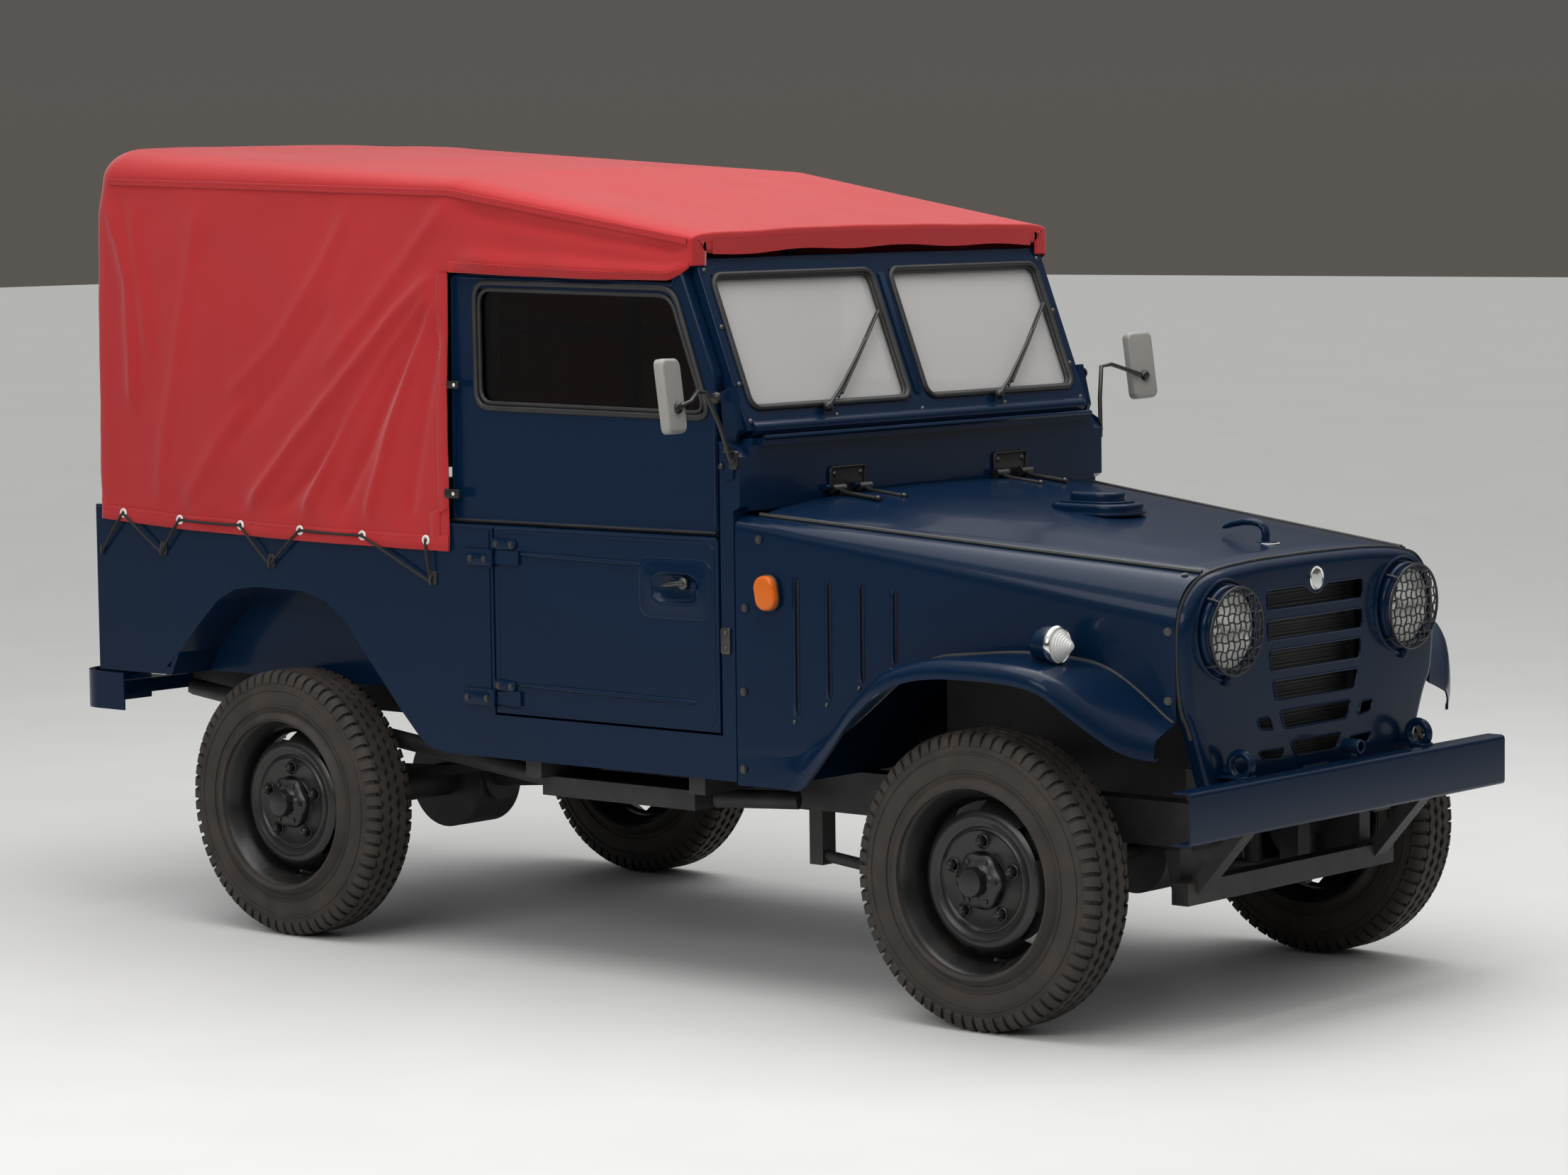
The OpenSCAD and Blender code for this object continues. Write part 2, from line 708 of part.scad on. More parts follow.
module door_right() color(paint)
    mirror([0, 1, 0])
        lower_door();

module door_top_left() color(paint) door_top();

module door_top_right() color(paint)
    mirror([0, 1, 0])
        door_top();

module door_glass_left() color("#5c3234", 0.5) door_glass();

module door_glass_right() color("#5c3234", 0.5)
    mirror([0, 1, 0])
        door_glass();

module tailgate() color(paint) {
    difference() {
        box(tub_x0, tub_x0 + wall, -tailgate_hw, tailgate_hw, tailgate_z0, belt_z);
        // pressed panel on the outside
        box(tub_x0 - 1, tub_x0 + 6, -tailgate_hw + 90, tailgate_hw - 90, tailgate_z0 + 90, belt_z - 80);
    }
    for (y = tailgate_hinge_y) {
        translate([tailgate_axis_x, y, tailgate_z0])
            rotate([-90, 0, 0])
                cylinder(h = 40, r = 9);
        box(tailgate_axis_x, tub_x0 + 2, y, y + 40, tailgate_z0, tailgate_z0 + 7);
    }
}

// ---------- canopy ----------

// half section of the canopy: hem, seam, shoulder, crown
function canopy_half(y_hem, z_hem, y_seam, z_seam, y_sh, z_sh, z_top) = [
    [y_hem, z_hem], [y_hem + (y_seam - y_hem) * 0.5 + 2, z_hem + (z_seam - z_hem) * 0.5], [y_seam, z_seam],
    [y_seam - (y_seam - y_sh) * 0.28, z_seam + (z_sh - z_seam) * 0.52],
    [y_seam - (y_seam - y_sh) * 0.62, z_seam + (z_sh - z_seam) * 0.84],
    [y_sh, z_sh], [y_sh * 0.55, z_sh + (z_top - z_sh) * 0.72], [y_sh * 0.2, z_top - 0.6], [0, z_top]
];

function canopy_ring(x, s) =
    let (half = canopy_half(s[0], s[1], s[2], s[3], s[4], s[5], s[6]))
        [for (p = concat(half, [for (i = [len(half) - 2:-1:0]) [-half[i][0], half[i][1]]])) [x, p[0], p[1]]];

seam_y = hw - 10;
hem_y = hw + 10;

// sections: [hem y, hem z, seam y, seam z, shoulder y, shoulder z, crown z]
canopy_rear = [hem_y, hem_z, seam_y, roof_rear_z - 89, 545, roof_rear_z - 9, roof_rear_z];
canopy_hoop = [hem_y, hem_z, seam_y, roof_hoop_z - 52, 600, roof_hoop_z - 18, roof_hoop_z];
canopy_front = [hem_y - 6, hem_z, seam_y - 12, flap_z0 + 92, 575, flap_z0 + 108, flap_z0 + 116];

function inset(s, t) = [s[0] - t, s[1] - 40, s[2] - t, s[3] - t * 0.8, s[4] - t * 0.6, s[5] - t, s[6] - t];

module canopy() color(canvas) {
    t = canvas_t;
    difference() {
        loft([
            canopy_ring(canopy_x0, canopy_rear), canopy_ring(hoop_x, canopy_hoop),
            canopy_ring(canopy_x1, canopy_front)
        ], true);
        loft([
            canopy_ring(canopy_x0 + t, inset(canopy_rear, t)), canopy_ring(hoop_x, inset(canopy_hoop, t)),
            canopy_ring(canopy_x1 - t, inset(canopy_front, t))
        ], true);
        // doorways below the side flaps
        both_sides()
            side_cut(hw - 90, hw + 40)
                polygon([
                    [curtain_x, flap_z1], [canopy_x1 - 60, flap_z0], [canopy_x1 - 60, flap_z0 + 42],
                    [canopy_x1 + 20, flap_z0 + 42], [canopy_x1 + 20, hem_z - 50], [curtain_x - 40, hem_z - 50],
                    [curtain_x - 40, belt_z + 34], [curtain_x - 14, belt_z + 40]
                ]);
        // front opening over the screen
        box(canopy_x1 - 100, canopy_x1 + 20, -hw + 60, hw - 60, hem_z - 60, flap_z0 + 44);
        // hem rises over the tailgate and the rear panel
        box(canopy_x0 - 20, tub_x0 + wall + 8, -hw - 0.5, hw + 0.5, hem_z - 60, belt_z + 8);
    }
}

// closed outline of a band of width w along a line of points
function band(pts, w) =
    let (last = len(pts) - 1)
    let (side = [for (i = [0:last])
        let (d = pts[min(i + 1, last)] - pts[max(i - 1, 0)])
            [-d[1], d[0]] * (w / 2 / norm(d))])
    concat([for (i = [0:last]) pts[i] + side[i]], [for (i = [last:-1:0]) pts[i] - side[i]]);

// bow over the load space, from foot to foot
module hoop(x, half_w, z_top, z_foot, foot_y) {
    half = [
        [foot_y, z_foot], [foot_y, z_foot + 60], [foot_y + 16, z_top - 260], [half_w, z_top - 76], [half_w - 22, z_top - 34],
        [half_w - 62, z_top - 10], [half_w - 130, z_top], [60, z_top + 6]
    ];
    front_plate(x - hoop_d / 2, x + hoop_d / 2)
        polygon(band(concat(half, mirrored(half)), hoop_d));
}

rail_level_z = 1475;

module canopy_bows() color(dark) {
    low = floor_rear_z + floor_t;
    hoop(hoop_x, 600, roof_hoop_z - 40, low, 530);
    hoop(axle_r + 40, 570, roof_hoop_z - 8, arch_top_z + 14, 560);
    hoop(canopy_x0 + 50, 560, roof_rear_z - 40, low, 590);
    both_sides()
        bar([canopy_x0 + 50, 598, rail_level_z], [hoop_x, 541, rail_level_z], 11);
}

// ---------- cabin ----------

seat_x0 = door_x0 + 20;
seat_w = 430;
seat_y = 330;

// frame of a seat back, from the rear edge of the seat pan
module on_seat_back(y) {
    translate([seat_x0 + 38, y, sill_z + floor_t + 190])
        rotate([0, -10.7, 0])
            children();
}

module seat_frame(y) {
    z = sill_z + floor_t;
    for (x = [seat_x0 + 40, seat_x0 + 400], m = [-1, 1])
        box(x, x + 30, y + m * 120 - 15, y + m * 120 + 15, z, z + 180);
    box(seat_x0 + 20, seat_x0 + 450, y - seat_w / 2, y + seat_w / 2, z + 180, z + 200);
    // back hoop
    on_seat_back(y)
        front_plate(-12, 12)
            polygon(band([[-195, -6], [-195, 340], [-170, 376], [170, 376], [195, 340], [195, -6]], 24));
}

module seat_frames() color(dark) {
    for (m = [-1, 1])
        seat_frame(m * seat_y);
    // bench boards on the wheel boxes
    both_sides()
        box(tub_x0 + 60, tub_x1 - 150, 330, box_y - 4, arch_top_z + 20, arch_top_z + 34);
    both_sides()
        for (x = [tub_x0 + 80, tub_x1 - 190])
            box(x, x + 30, 340, 370, floor_rear_z + floor_t, arch_top_z + 20);
}

module pad(x0, x1, y0, y1, z0, z1, r) {
    hull()
        for (x = [x0 + r, x1 - r], y = [y0 + r, y1 - r])
            translate([x, y, z0])
                cylinder(h = z1 - z0, r = r, $fn = 20);
}

module seat_cushions() color("#3b2b25") {
    z = sill_z + floor_t + 200 + eps;
    for (m = [-1, 1]) {
        y = m * seat_y;
        pad(seat_x0 + 45, seat_x0 + 465, y - 205, y + 205, z, z + 95, 40);
        on_seat_back(y)
            pad(12 + eps, 82, -195, 195, 130, 520, 30);
    }
    both_sides()
        pad(tub_x0 + 62, tub_x1 - 152, 332, box_y - 6, arch_top_z + 34 + eps, arch_top_z + 84, 20);
}

column_a = [screen_x0 - 40, seat_y, belt_z - 60];
column_b = [seat_x0 + 440, seat_y, belt_z + 70];
column_dir = (column_b - column_a) / norm(column_b - column_a);

module dashboard() color(paint) {
    // panel under the scuttle
    box(post_x - 16, post_x, -hw + wall + 6, hw - wall - 6, belt_z + 20, cowl_top - 70);
    color(dark)
        bar(column_a - column_dir * 180, column_b - column_dir * (17 + eps), 22);
    box(post_x - 60, post_x - 10, seat_y - 30, seat_y + 30, belt_z - 70, belt_z + 40);
    // gear levers from the tunnel
    translate([screen_x0 - 280, 20, sill_z + 165])
        cylinder(h = 20, r1 = 26, r2 = 14);
    bar([screen_x0 - 280, 20, sill_z + 172], [screen_x0 - 330, 30, belt_z - 110], 8);
    translate([screen_x0 - 330, 30, belt_z - 110])
        sphere(19, $fn = 24);
}

wheel_tilt = acos(column_dir[2]);

module steering_wheel() color(black) {
    translate(column_b)
        rotate([0, -wheel_tilt, 0]) {
            rotate_extrude($fn = 64)
                translate([200, 0])
                    circle(12, $fn = 20);
            cylinder(h = 34, r = 30, center = true);
            for (a = [90, 210, 330])
                rotate([0, 0, a])
                    translate([20, -9, -5])
                        cube([175, 18, 10]);
        }
}

// ---------- axles ----------

arm_low_z = axle_z - 105;
arm_high_z = axle_z + 100;

// one wishbone at height z, hinged at the inner line y_in
module wishbone(y_in, z) {
    for (dx = [-115, 115])
        bar([axle_f + dx, y_in, z], [axle_f, kingpin_y - 20, z], 13);
    translate([axle_f, kingpin_y, z - 14])
        cylinder(h = 28, r = 26);
    for (dx = [-115, 115])
        bar([axle_f + dx - 30, y_in, z], [axle_f + dx + 30, y_in, z], 22);
}

module front_suspension() color(dark) {
    both_sides() {
        wishbone(rail_y + 45, arm_low_z);
        wishbone(rail_y + rail_w + 22 + eps, arm_high_z);
        // carriers from the frame rail
        for (dx = [-115, 115])
            box(axle_f + dx - 26, axle_f + dx + 26, rail_y + 8, rail_y + 58, arm_low_z, rail_z);
        // shock absorber
        bar([axle_f - 62, rail_y + 116, arm_low_z + 8], [axle_f - 62, rail_y + 94, rail_z + 80], 24);
        // torsion bar to the frame
        bar([axle_f - 115, rail_y + 45, arm_low_z], [firewall_x - 120, rail_y + 35, arm_low_z + 60], 14);
        box(firewall_x - 150, firewall_x - 110, rail_y + 10, rail_y + 58, arm_low_z + 40, rail_z);
        // drive shaft
        bar([axle_f, 100, axle_z], [axle_f, kingpin_y - 42, axle_z], 17);
    }
    // final drive
    translate([axle_f, 0, axle_z - 8])
        rotate([90, 0, 0])
            cylinder(h = 240, r = 92, center = true);
    box(axle_f - 130, axle_f, 28, 92, axle_z - 50, axle_z + 40);
    for (y = [-90, 60])
        box(axle_f - 40, axle_f + 40, y, y + 30, axle_z + 40, rail_z + 25);
}

module knuckle() {
    difference() {
        union() {
            // king post between the wishbone eyes
            translate([axle_f, kingpin_y, arm_low_z + 14 + eps])
                cylinder(h = arm_high_z - arm_low_z - 28 - 2 * eps, r = 26);
            // stub and brake drum
            translate([axle_f, kingpin_y - 20, axle_z])
                rotate([-90, 0, 0])
                    cylinder(h = 54, r = 48);
            translate([axle_f, kingpin_y + 32, axle_z])
                rotate([-90, 0, 0])
                    cylinder(h = wheel_y - eps - kingpin_y - 32, r = 138);
        }
        translate([axle_f, kingpin_y - 25, axle_z])
            rotate([-90, 0, 0])
                cylinder(h = 44, r = 24);
    }
    // steering arm
    bar([axle_f, kingpin_y - 10, tie_z + 13], [axle_f - tie_back, tie_y, tie_z + 13], 12);
    translate([axle_f - tie_back, tie_y, tie_z])
        cylinder(h = 27, r = 18);
}

tie_back = 205;                      // rod ends behind the axle
tie_y = kingpin_y - 40;
tie_z = arm_low_z + 60;

module knuckle_left() color("#26282a") knuckle();

module knuckle_right() color("#26282a")
    mirror([0, 1, 0])
        knuckle();

module tie_rod() color("#26282a") {
    x = axle_f - tie_back;
    for (m = [-1, 1])
        translate([x, m * tie_y, tie_z - 24 - eps])
            cylinder(h = 24, r = 17);
    bar([x, -tie_y, tie_z - 12], [x, tie_y, tie_z - 12], 11);
}

module rear_axle() color(dark) {
    // tube, final drive and brake drums
    bar([axle_r, -wheel_y + 40, axle_z], [axle_r, wheel_y - 40, axle_z], 42);
    translate([axle_r, -60, axle_z])
        rotate([-90, 0, 0])
            cylinder(h = 150, r = 125, center = true);
    bar([axle_r, -60, axle_z], [axle_r + 130, -60, axle_z + 10], 62);
    both_sides() {
        translate([axle_r, wheel_y - 45, axle_z])
            rotate([-90, 0, 0])
                cylinder(h = 45 - eps, r = 138);
        // leaf springs under hangers
        side_plate([
            [axle_r - 425, axle_z + 84], [axle_r - 200, axle_z + 46], [axle_r, axle_z + 36], [axle_r + 200, axle_z + 46],
            [axle_r + 440, axle_z + 84], [axle_r + 440, axle_z + 100], [axle_r + 200, axle_z + 72],
            [axle_r, axle_z + 64], [axle_r - 200, axle_z + 72], [axle_r - 425, axle_z + 100]
        ], rail_y + 8, rail_y + 56);
        // shock absorber
        bar([axle_r - 40, rail_y - 50, axle_z + 20], [axle_r - 150, rail_y - 30, floor_rear_z - 60], 22);
    }
}

// ---------- wheels ----------

module tyre() {
    rotate([90, 0, 0])
        rotate_extrude($fn = 96)
            polygon([
                [rim_r + 4, -tyre_w / 2 + 16], [rim_r + 30, -tyre_w / 2 + 2], [rim_r + 62, -tyre_w / 2],
                [tyre_r - 34, -tyre_w / 2 + 3], [tyre_r - 14, -tyre_w / 2 + 10], [tyre_r - 3, -tyre_w / 2 + 17],
                [tyre_r, -tyre_w / 2 + 34], [tyre_r, tyre_w / 2 - 34],
                [tyre_r - 3, tyre_w / 2 - 17], [tyre_r - 14, tyre_w / 2 - 10], [tyre_r - 34, tyre_w / 2 - 3],
                [rim_r + 62, tyre_w / 2], [rim_r + 30, tyre_w / 2 - 2], [rim_r + 4, tyre_w / 2 - 16]
            ]);
}

// steel disc wheel, outer side towards +Y
module disc_wheel(cap) {
    disc = wheel_disc_y - wheel_y;
    t = tyre_w / 2;
    difference() {
        rotate([-90, 0, 0])
            rotate_extrude($fn = 96)
                polygon([
                    [rim_r + 18, -t + 3], [rim_r + 18, -t + 8], [rim_r + 3, -t + 13], [rim_r + 3, -44],
                    [rim_r - 21, -28], [rim_r - 21, 12], [rim_r + 3, 30], [rim_r + 3, t - 13], [rim_r + 18, t - 8],
                    [rim_r + 18, t - 3], [rim_r - 5, t - 8], [rim_r - 5, 36], [rim_r - 24, 26], [rim_r - 40, 38],
                    [142, 45], [120, 41], [106, disc], [38, disc], [38, disc - 10], [98, disc - 10], [114, 32],
                    [140, 36], [rim_r - 42, 28], [rim_r - 29, 14], [rim_r - 29, -32], [rim_r - 5, -48],
                    [rim_r - 5, -t + 8]
                ]);
        for (i = [0:4])
            rotate([0, i * 72 + 18, 0])
                translate([bolt_circle_r, -90, 0])
                    rotate([-90, 0, 0])
                        cylinder(h = 180, d = bolt_d);
    }
    // hub with grease cap
    rotate([-90, 0, 0]) {
        cylinder(h = disc + 14, r = 41);
        cylinder(h = disc + cap, r = 24);
    }
}

module at_wheel(x, side) {
    translate([x, side * wheel_y, axle_z])
        mirror([0, side < 0 ? 1 : 0, 0])
            children();
}

module tyre_front_right() color("#231f1c") at_wheel(axle_f, -1) tyre();

module tyre_front_left() color("#231f1c") at_wheel(axle_f, 1) tyre();

module tyre_rear_right() color("#231f1c") at_wheel(axle_r, -1) tyre();

module tyre_rear_left() color("#231f1c") at_wheel(axle_r, 1) tyre();

module wheel_front_right() color(black) at_wheel(axle_f, -1) disc_wheel(52);

module wheel_front_left() color(black) at_wheel(axle_f, 1) disc_wheel(52);

module wheel_rear_right() color(black) at_wheel(axle_r, -1) disc_wheel(36);

module wheel_rear_left() color(black) at_wheel(axle_r, 1) disc_wheel(36);

// ---------- fittings ----------

bumper_hw = 631;
bumper_t = 6;

module front_bumper() color(paint) {
    sweep_x = nose_x - 24;
    difference() {
        union() {
            translate([0, 0, bumper_z0])
                linear_extrude(bumper_z1 - bumper_z0)
                    bumper_plan(bumper_t);
            translate([0, 0, bumper_z1 - bumper_t])
                linear_extrude(bumper_t)
                    bumper_plan(44);
            // tow eyes on the bumper flange, over the rails
            for (m = [-1, 1])
                translate([nose_x - 62, m * 355, bumper_z1 + 26])
                    rotate([90, 0, 0])
                        cylinder(h = 18, r = 36, center = true);
            // brackets back to the rails
            for (m = [-1, 1])
                box(nose_x - 25, nose_x - bumper_t + 1, m * (rail_y + 10), m * (rail_y + rail_w - 10), bumper_z0 + 4, sill_z + 20);
            // pin socket
            translate([nose_x - 40, 60, bumper_z1 - 1])
                cylinder(h = 40, r = 9);
            translate([nose_x - 52, 60, bumper_z1 + 34])
                rotate([0, 90, 0])
                    cylinder(h = 30, r = 15);
        }
        for (m = [-1, 1])
            translate([nose_x - 62, m * 355, bumper_z1 + 26])
                rotate([90, 0, 0])
                    cylinder(h = 30, r = 17, center = true);
    }
}

module bumper_plan(t) {
    polygon([
        [nose_x, -bumper_hw + 130], [nose_x, bumper_hw - 130], [nose_x - 24, bumper_hw],
        [nose_x - 24 - t, bumper_hw], [nose_x - t, bumper_hw - 130], [nose_x - t, -bumper_hw + 130],
        [nose_x - 24 - t, -bumper_hw], [nose_x - 24, -bumper_hw]
    ]);
}

guard_x = nose_x - 188;
guard_z = 300;

module front_guard() color(dark) {
    box(guard_x - 22, guard_x + 22, -410, 410, guard_z - 25, guard_z + 25);
    both_sides() {
        side_plate([
            [guard_x - 20, guard_z], [guard_x + 16, guard_z - 10], [nose_x - 26, bumper_z0 + 12 - eps],
            [nose_x - 66, bumper_z0 + 12 - eps]
        ], 330, 374);
        side_plate([
            [guard_x - 22, guard_z - 20], [guard_x - 22, rail_z - eps], [guard_x - 66, rail_z - eps], [guard_x - 40, guard_z - 20]
        ], 334, 378);
    }
}

module rear_bumperettes() color(paint) {
    z0 = floor_rear_z - 102;
    r = 90;
    both_sides() {
        translate([0, 0, z0])
            linear_extrude(97)
                difference() {
                    corner_plan(0, r);
                    corner_plan(5, r - 5);
                }
        box(tub_x0 + 4, tub_x0 + 30, rail_y + rail_w, hw + 7, z0 + 30, z0 + 66);
        box(tail_x + 4, tub_x0 + 8, 470, 510, z0 + 30, z0 + 66);
    }
}

module corner_plan(t, r) {
    difference() {
        union() {
            translate([tail_x + t + r, 440])
                square([190 - t - r, hw + 10 - 440 - t]);
            translate([tail_x + t, 440])
                square([190 - t, hw + 10 - 440 - t - r]);
            translate([tail_x + t + r, hw + 10 - t - r])
                circle(r, $fn = 64);
        }
        if (t == 0)
            translate([tail_x - 1, 430])
                square([1, 1]);
    }
    if (t > 0)
        translate([tail_x + t, 430])
            square([200, hw + 10 - 430 - t - r]);
    if (t > 0)
        translate([tail_x + t + r, 430])
            square([200, hw + 10 - 430 - t]);
}

module headlamps() color(paint) {
    on_grille()
        for (m = [-1, 1])
            translate([0, m * lamp_span / 2, 0])
                rotate([0, 90, 0])
                    rotate_extrude($fn = 96)
                        polygon([
                            [0, -90], [lamp_r - 9 - eps, -60], [lamp_r - 9 - eps, eps], [lamp_r, eps], [lamp_r, 12],
                            [lamp_r - 7, 20], [lamp_r - 15, 20], [lamp_r - 15, 4], [50, 12], [0, 15]
                        ]);
}

position_lamp_x = axle_f + 190;
position_lamp_y = wheel_y - 3;

module lamps() color("#d8dde0") {
    both_sides() {
        // position lamp on the mudguard
        translate([position_lamp_x, position_lamp_y, axle_z + 527])
            rotate([0, 90, 0])
                rotate_extrude($fn = 48)
                    polygon([[0, -38], [22, -34], [36, -20], [40, 0], [40, 12], [32, 24], [14, 37], [0, 41]]);
        translate([position_lamp_x - 6, position_lamp_y, bead_z(position_lamp_x - 42) + 1.5])
            cylinder(h = 26, r = 25);
        // side repeater on the wing
        translate([cowl_x + 92, wing_y(cowl_x + 92) + 1.3, belt_z - 116])
            rotate([0, 0, -10])
                rotate([90, 0, 180])
                    linear_extrude(19)
                        round_rect(52, 78, 25);
        // tail lamps on the rear posts
        translate([tub_x0 - 34, hw - 62, belt_z - 190])
            rotate([0, 90, 0])
                cylinder(h = 33.7, r = 40);
    }
}

mirror_x = cowl_x - 5;
mirror_y = hw + 203;
mirror_z = 1394;

module mirrors() color("#a9a9a4") {
    both_sides() {
        translate([mirror_x, mirror_y, mirror_z])
            rotate([0, -8, 0])
                rotate([0, 0, -12])
                    front_plate(-12, 12)
                        round_rect(78, 168, 12);
        bar([mirror_x - 10, mirror_y, mirror_z], [cowl_x - 25, hw + 62, mirror_z + 2], 5, 12);
        bar([cowl_x - 25, hw + 62, mirror_z + 2], [cowl_x + 6, hw + 12, cowl_top - 45], 5, 12);
        translate([cowl_x - 25, hw + 62, mirror_z + 2])
            sphere(5, $fn = 12);
        bar([cowl_x + 6, hw + 5.3, cowl_top - 45], [cowl_x + 6, hw + 16, cowl_top - 45], 9, 16);
    }
}

chassis_frame();
engine_block();
driveline();
exhaust();
body_tub();
cowl();
front_wings();
grille_panel();
radiator();
bonnet();
windscreen_frame();
windscreen_glass();
wipers();
door_right();
door_left();
door_top_right();
door_top_left();
door_glass_right();
door_glass_left();
tailgate();
canopy();
canopy_bows();
seat_frames();
seat_cushions();
dashboard();
steering_wheel();
front_suspension();
knuckle_right();
knuckle_left();
tie_rod();
rear_axle();
tyre_front_right();
tyre_front_left();
tyre_rear_right();
tyre_rear_left();
wheel_front_right();
wheel_front_left();
wheel_rear_right();
wheel_rear_left();
front_bumper();
front_guard();
rear_bumperettes();
headlamps();
lamps();
mirrors();
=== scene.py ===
# Looks for the army 4x4 car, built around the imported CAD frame. Lengths in the making code are in mm.
import json
import math

import bmesh
import bpy
import numpy as np
from mathutils import Matrix, Vector, noise


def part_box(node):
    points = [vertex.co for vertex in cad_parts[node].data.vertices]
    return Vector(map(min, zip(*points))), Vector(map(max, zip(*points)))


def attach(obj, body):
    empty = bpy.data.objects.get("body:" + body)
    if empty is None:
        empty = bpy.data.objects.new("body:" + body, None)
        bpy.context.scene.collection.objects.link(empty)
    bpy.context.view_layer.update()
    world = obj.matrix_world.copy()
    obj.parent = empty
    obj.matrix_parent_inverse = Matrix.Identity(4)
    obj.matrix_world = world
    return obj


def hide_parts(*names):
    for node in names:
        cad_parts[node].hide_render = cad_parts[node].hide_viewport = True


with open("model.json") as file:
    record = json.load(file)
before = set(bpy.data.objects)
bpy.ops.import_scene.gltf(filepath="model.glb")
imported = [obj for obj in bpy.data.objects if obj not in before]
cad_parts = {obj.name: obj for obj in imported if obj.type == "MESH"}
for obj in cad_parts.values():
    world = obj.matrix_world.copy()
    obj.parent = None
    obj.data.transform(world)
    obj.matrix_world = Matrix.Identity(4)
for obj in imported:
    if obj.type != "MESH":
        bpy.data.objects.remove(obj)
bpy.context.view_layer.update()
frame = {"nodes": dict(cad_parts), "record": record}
scene = bpy.context.scene
nodes = frame["nodes"]

# ---------- stations, from the frame ----------


def mid(node):
    a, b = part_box(node)
    return (a + b) * 500


axle_f, axle_r = mid("tyre_front_right").x, mid("tyre_rear_right").x
axle_z = mid("tyre_front_right").z
wheel_y = mid("tyre_front_left").y
tyre_r = (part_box("tyre_front_right")[1].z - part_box("tyre_front_right")[0].z) * 500
tyre_w = (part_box("tyre_front_right")[1].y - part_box("tyre_front_right")[0].y) * 1000
cowl_x = axle_f - 707
grille_x = axle_f + 417
screen_x0 = cowl_x - 23
tub_x0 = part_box("tailgate")[1].x * 1000 - 34
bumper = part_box("front_bumper")
TUB_Y = 690.0  # the tub's and the doors' outer face
RIM_Z = 1072  # below this the canvas hangs outside the tub's rim
RIM_Y = 697.5  # and stays at least this far out
LAMP_Y, LAMP_Z = 352, 884  # headlamp centre
REAR_WINDOW = (352, 1362, 1668)  # half width, foot and head

# ---------- camera ----------


def camera():
    data = bpy.data.cameras.new("camera")
    cam = bpy.data.objects.new("camera", data)
    scene.collection.objects.link(cam)
    yaw, pitch, roll = 2.2800, -0.0892, -0.0128
    eye, lens = Vector((7.4157, -8.5416, 1.8807)), 105.31
    fw = Vector((math.cos(yaw) * math.cos(pitch), math.sin(yaw) * math.cos(pitch), math.sin(pitch)))
    rt = Vector((math.sin(yaw), -math.cos(yaw), 0))
    up = rt.cross(fw)
    r2 = rt * math.cos(roll) + up * math.sin(roll)
    u2 = -rt * math.sin(roll) + up * math.cos(roll)
    m = Matrix((r2, u2, -fw)).transposed().to_4x4()
    m.translation = eye
    cam.matrix_world = m
    data.sensor_width = 36
    data.lens = lens
    data.clip_end = 300
    scene.camera = cam


camera()

# ---------- materials ----------


def shader_node(nt, kind, vector=None, **inputs):
    """New node with its input values set; n1, n2... are sockets by index."""
    n = nt.nodes.new("ShaderNode" + kind)
    for key, value in inputs.items():
        n.inputs[int(key[1:]) if key[1:].isdigit() else key].default_value = value
    if vector:
        nt.links.new(vector, n.inputs["Vector"])
    return n


def scaled(c, k):
    return (min(1, c[0] * k), min(1, c[1] * k), min(1, c[2] * k), 1)


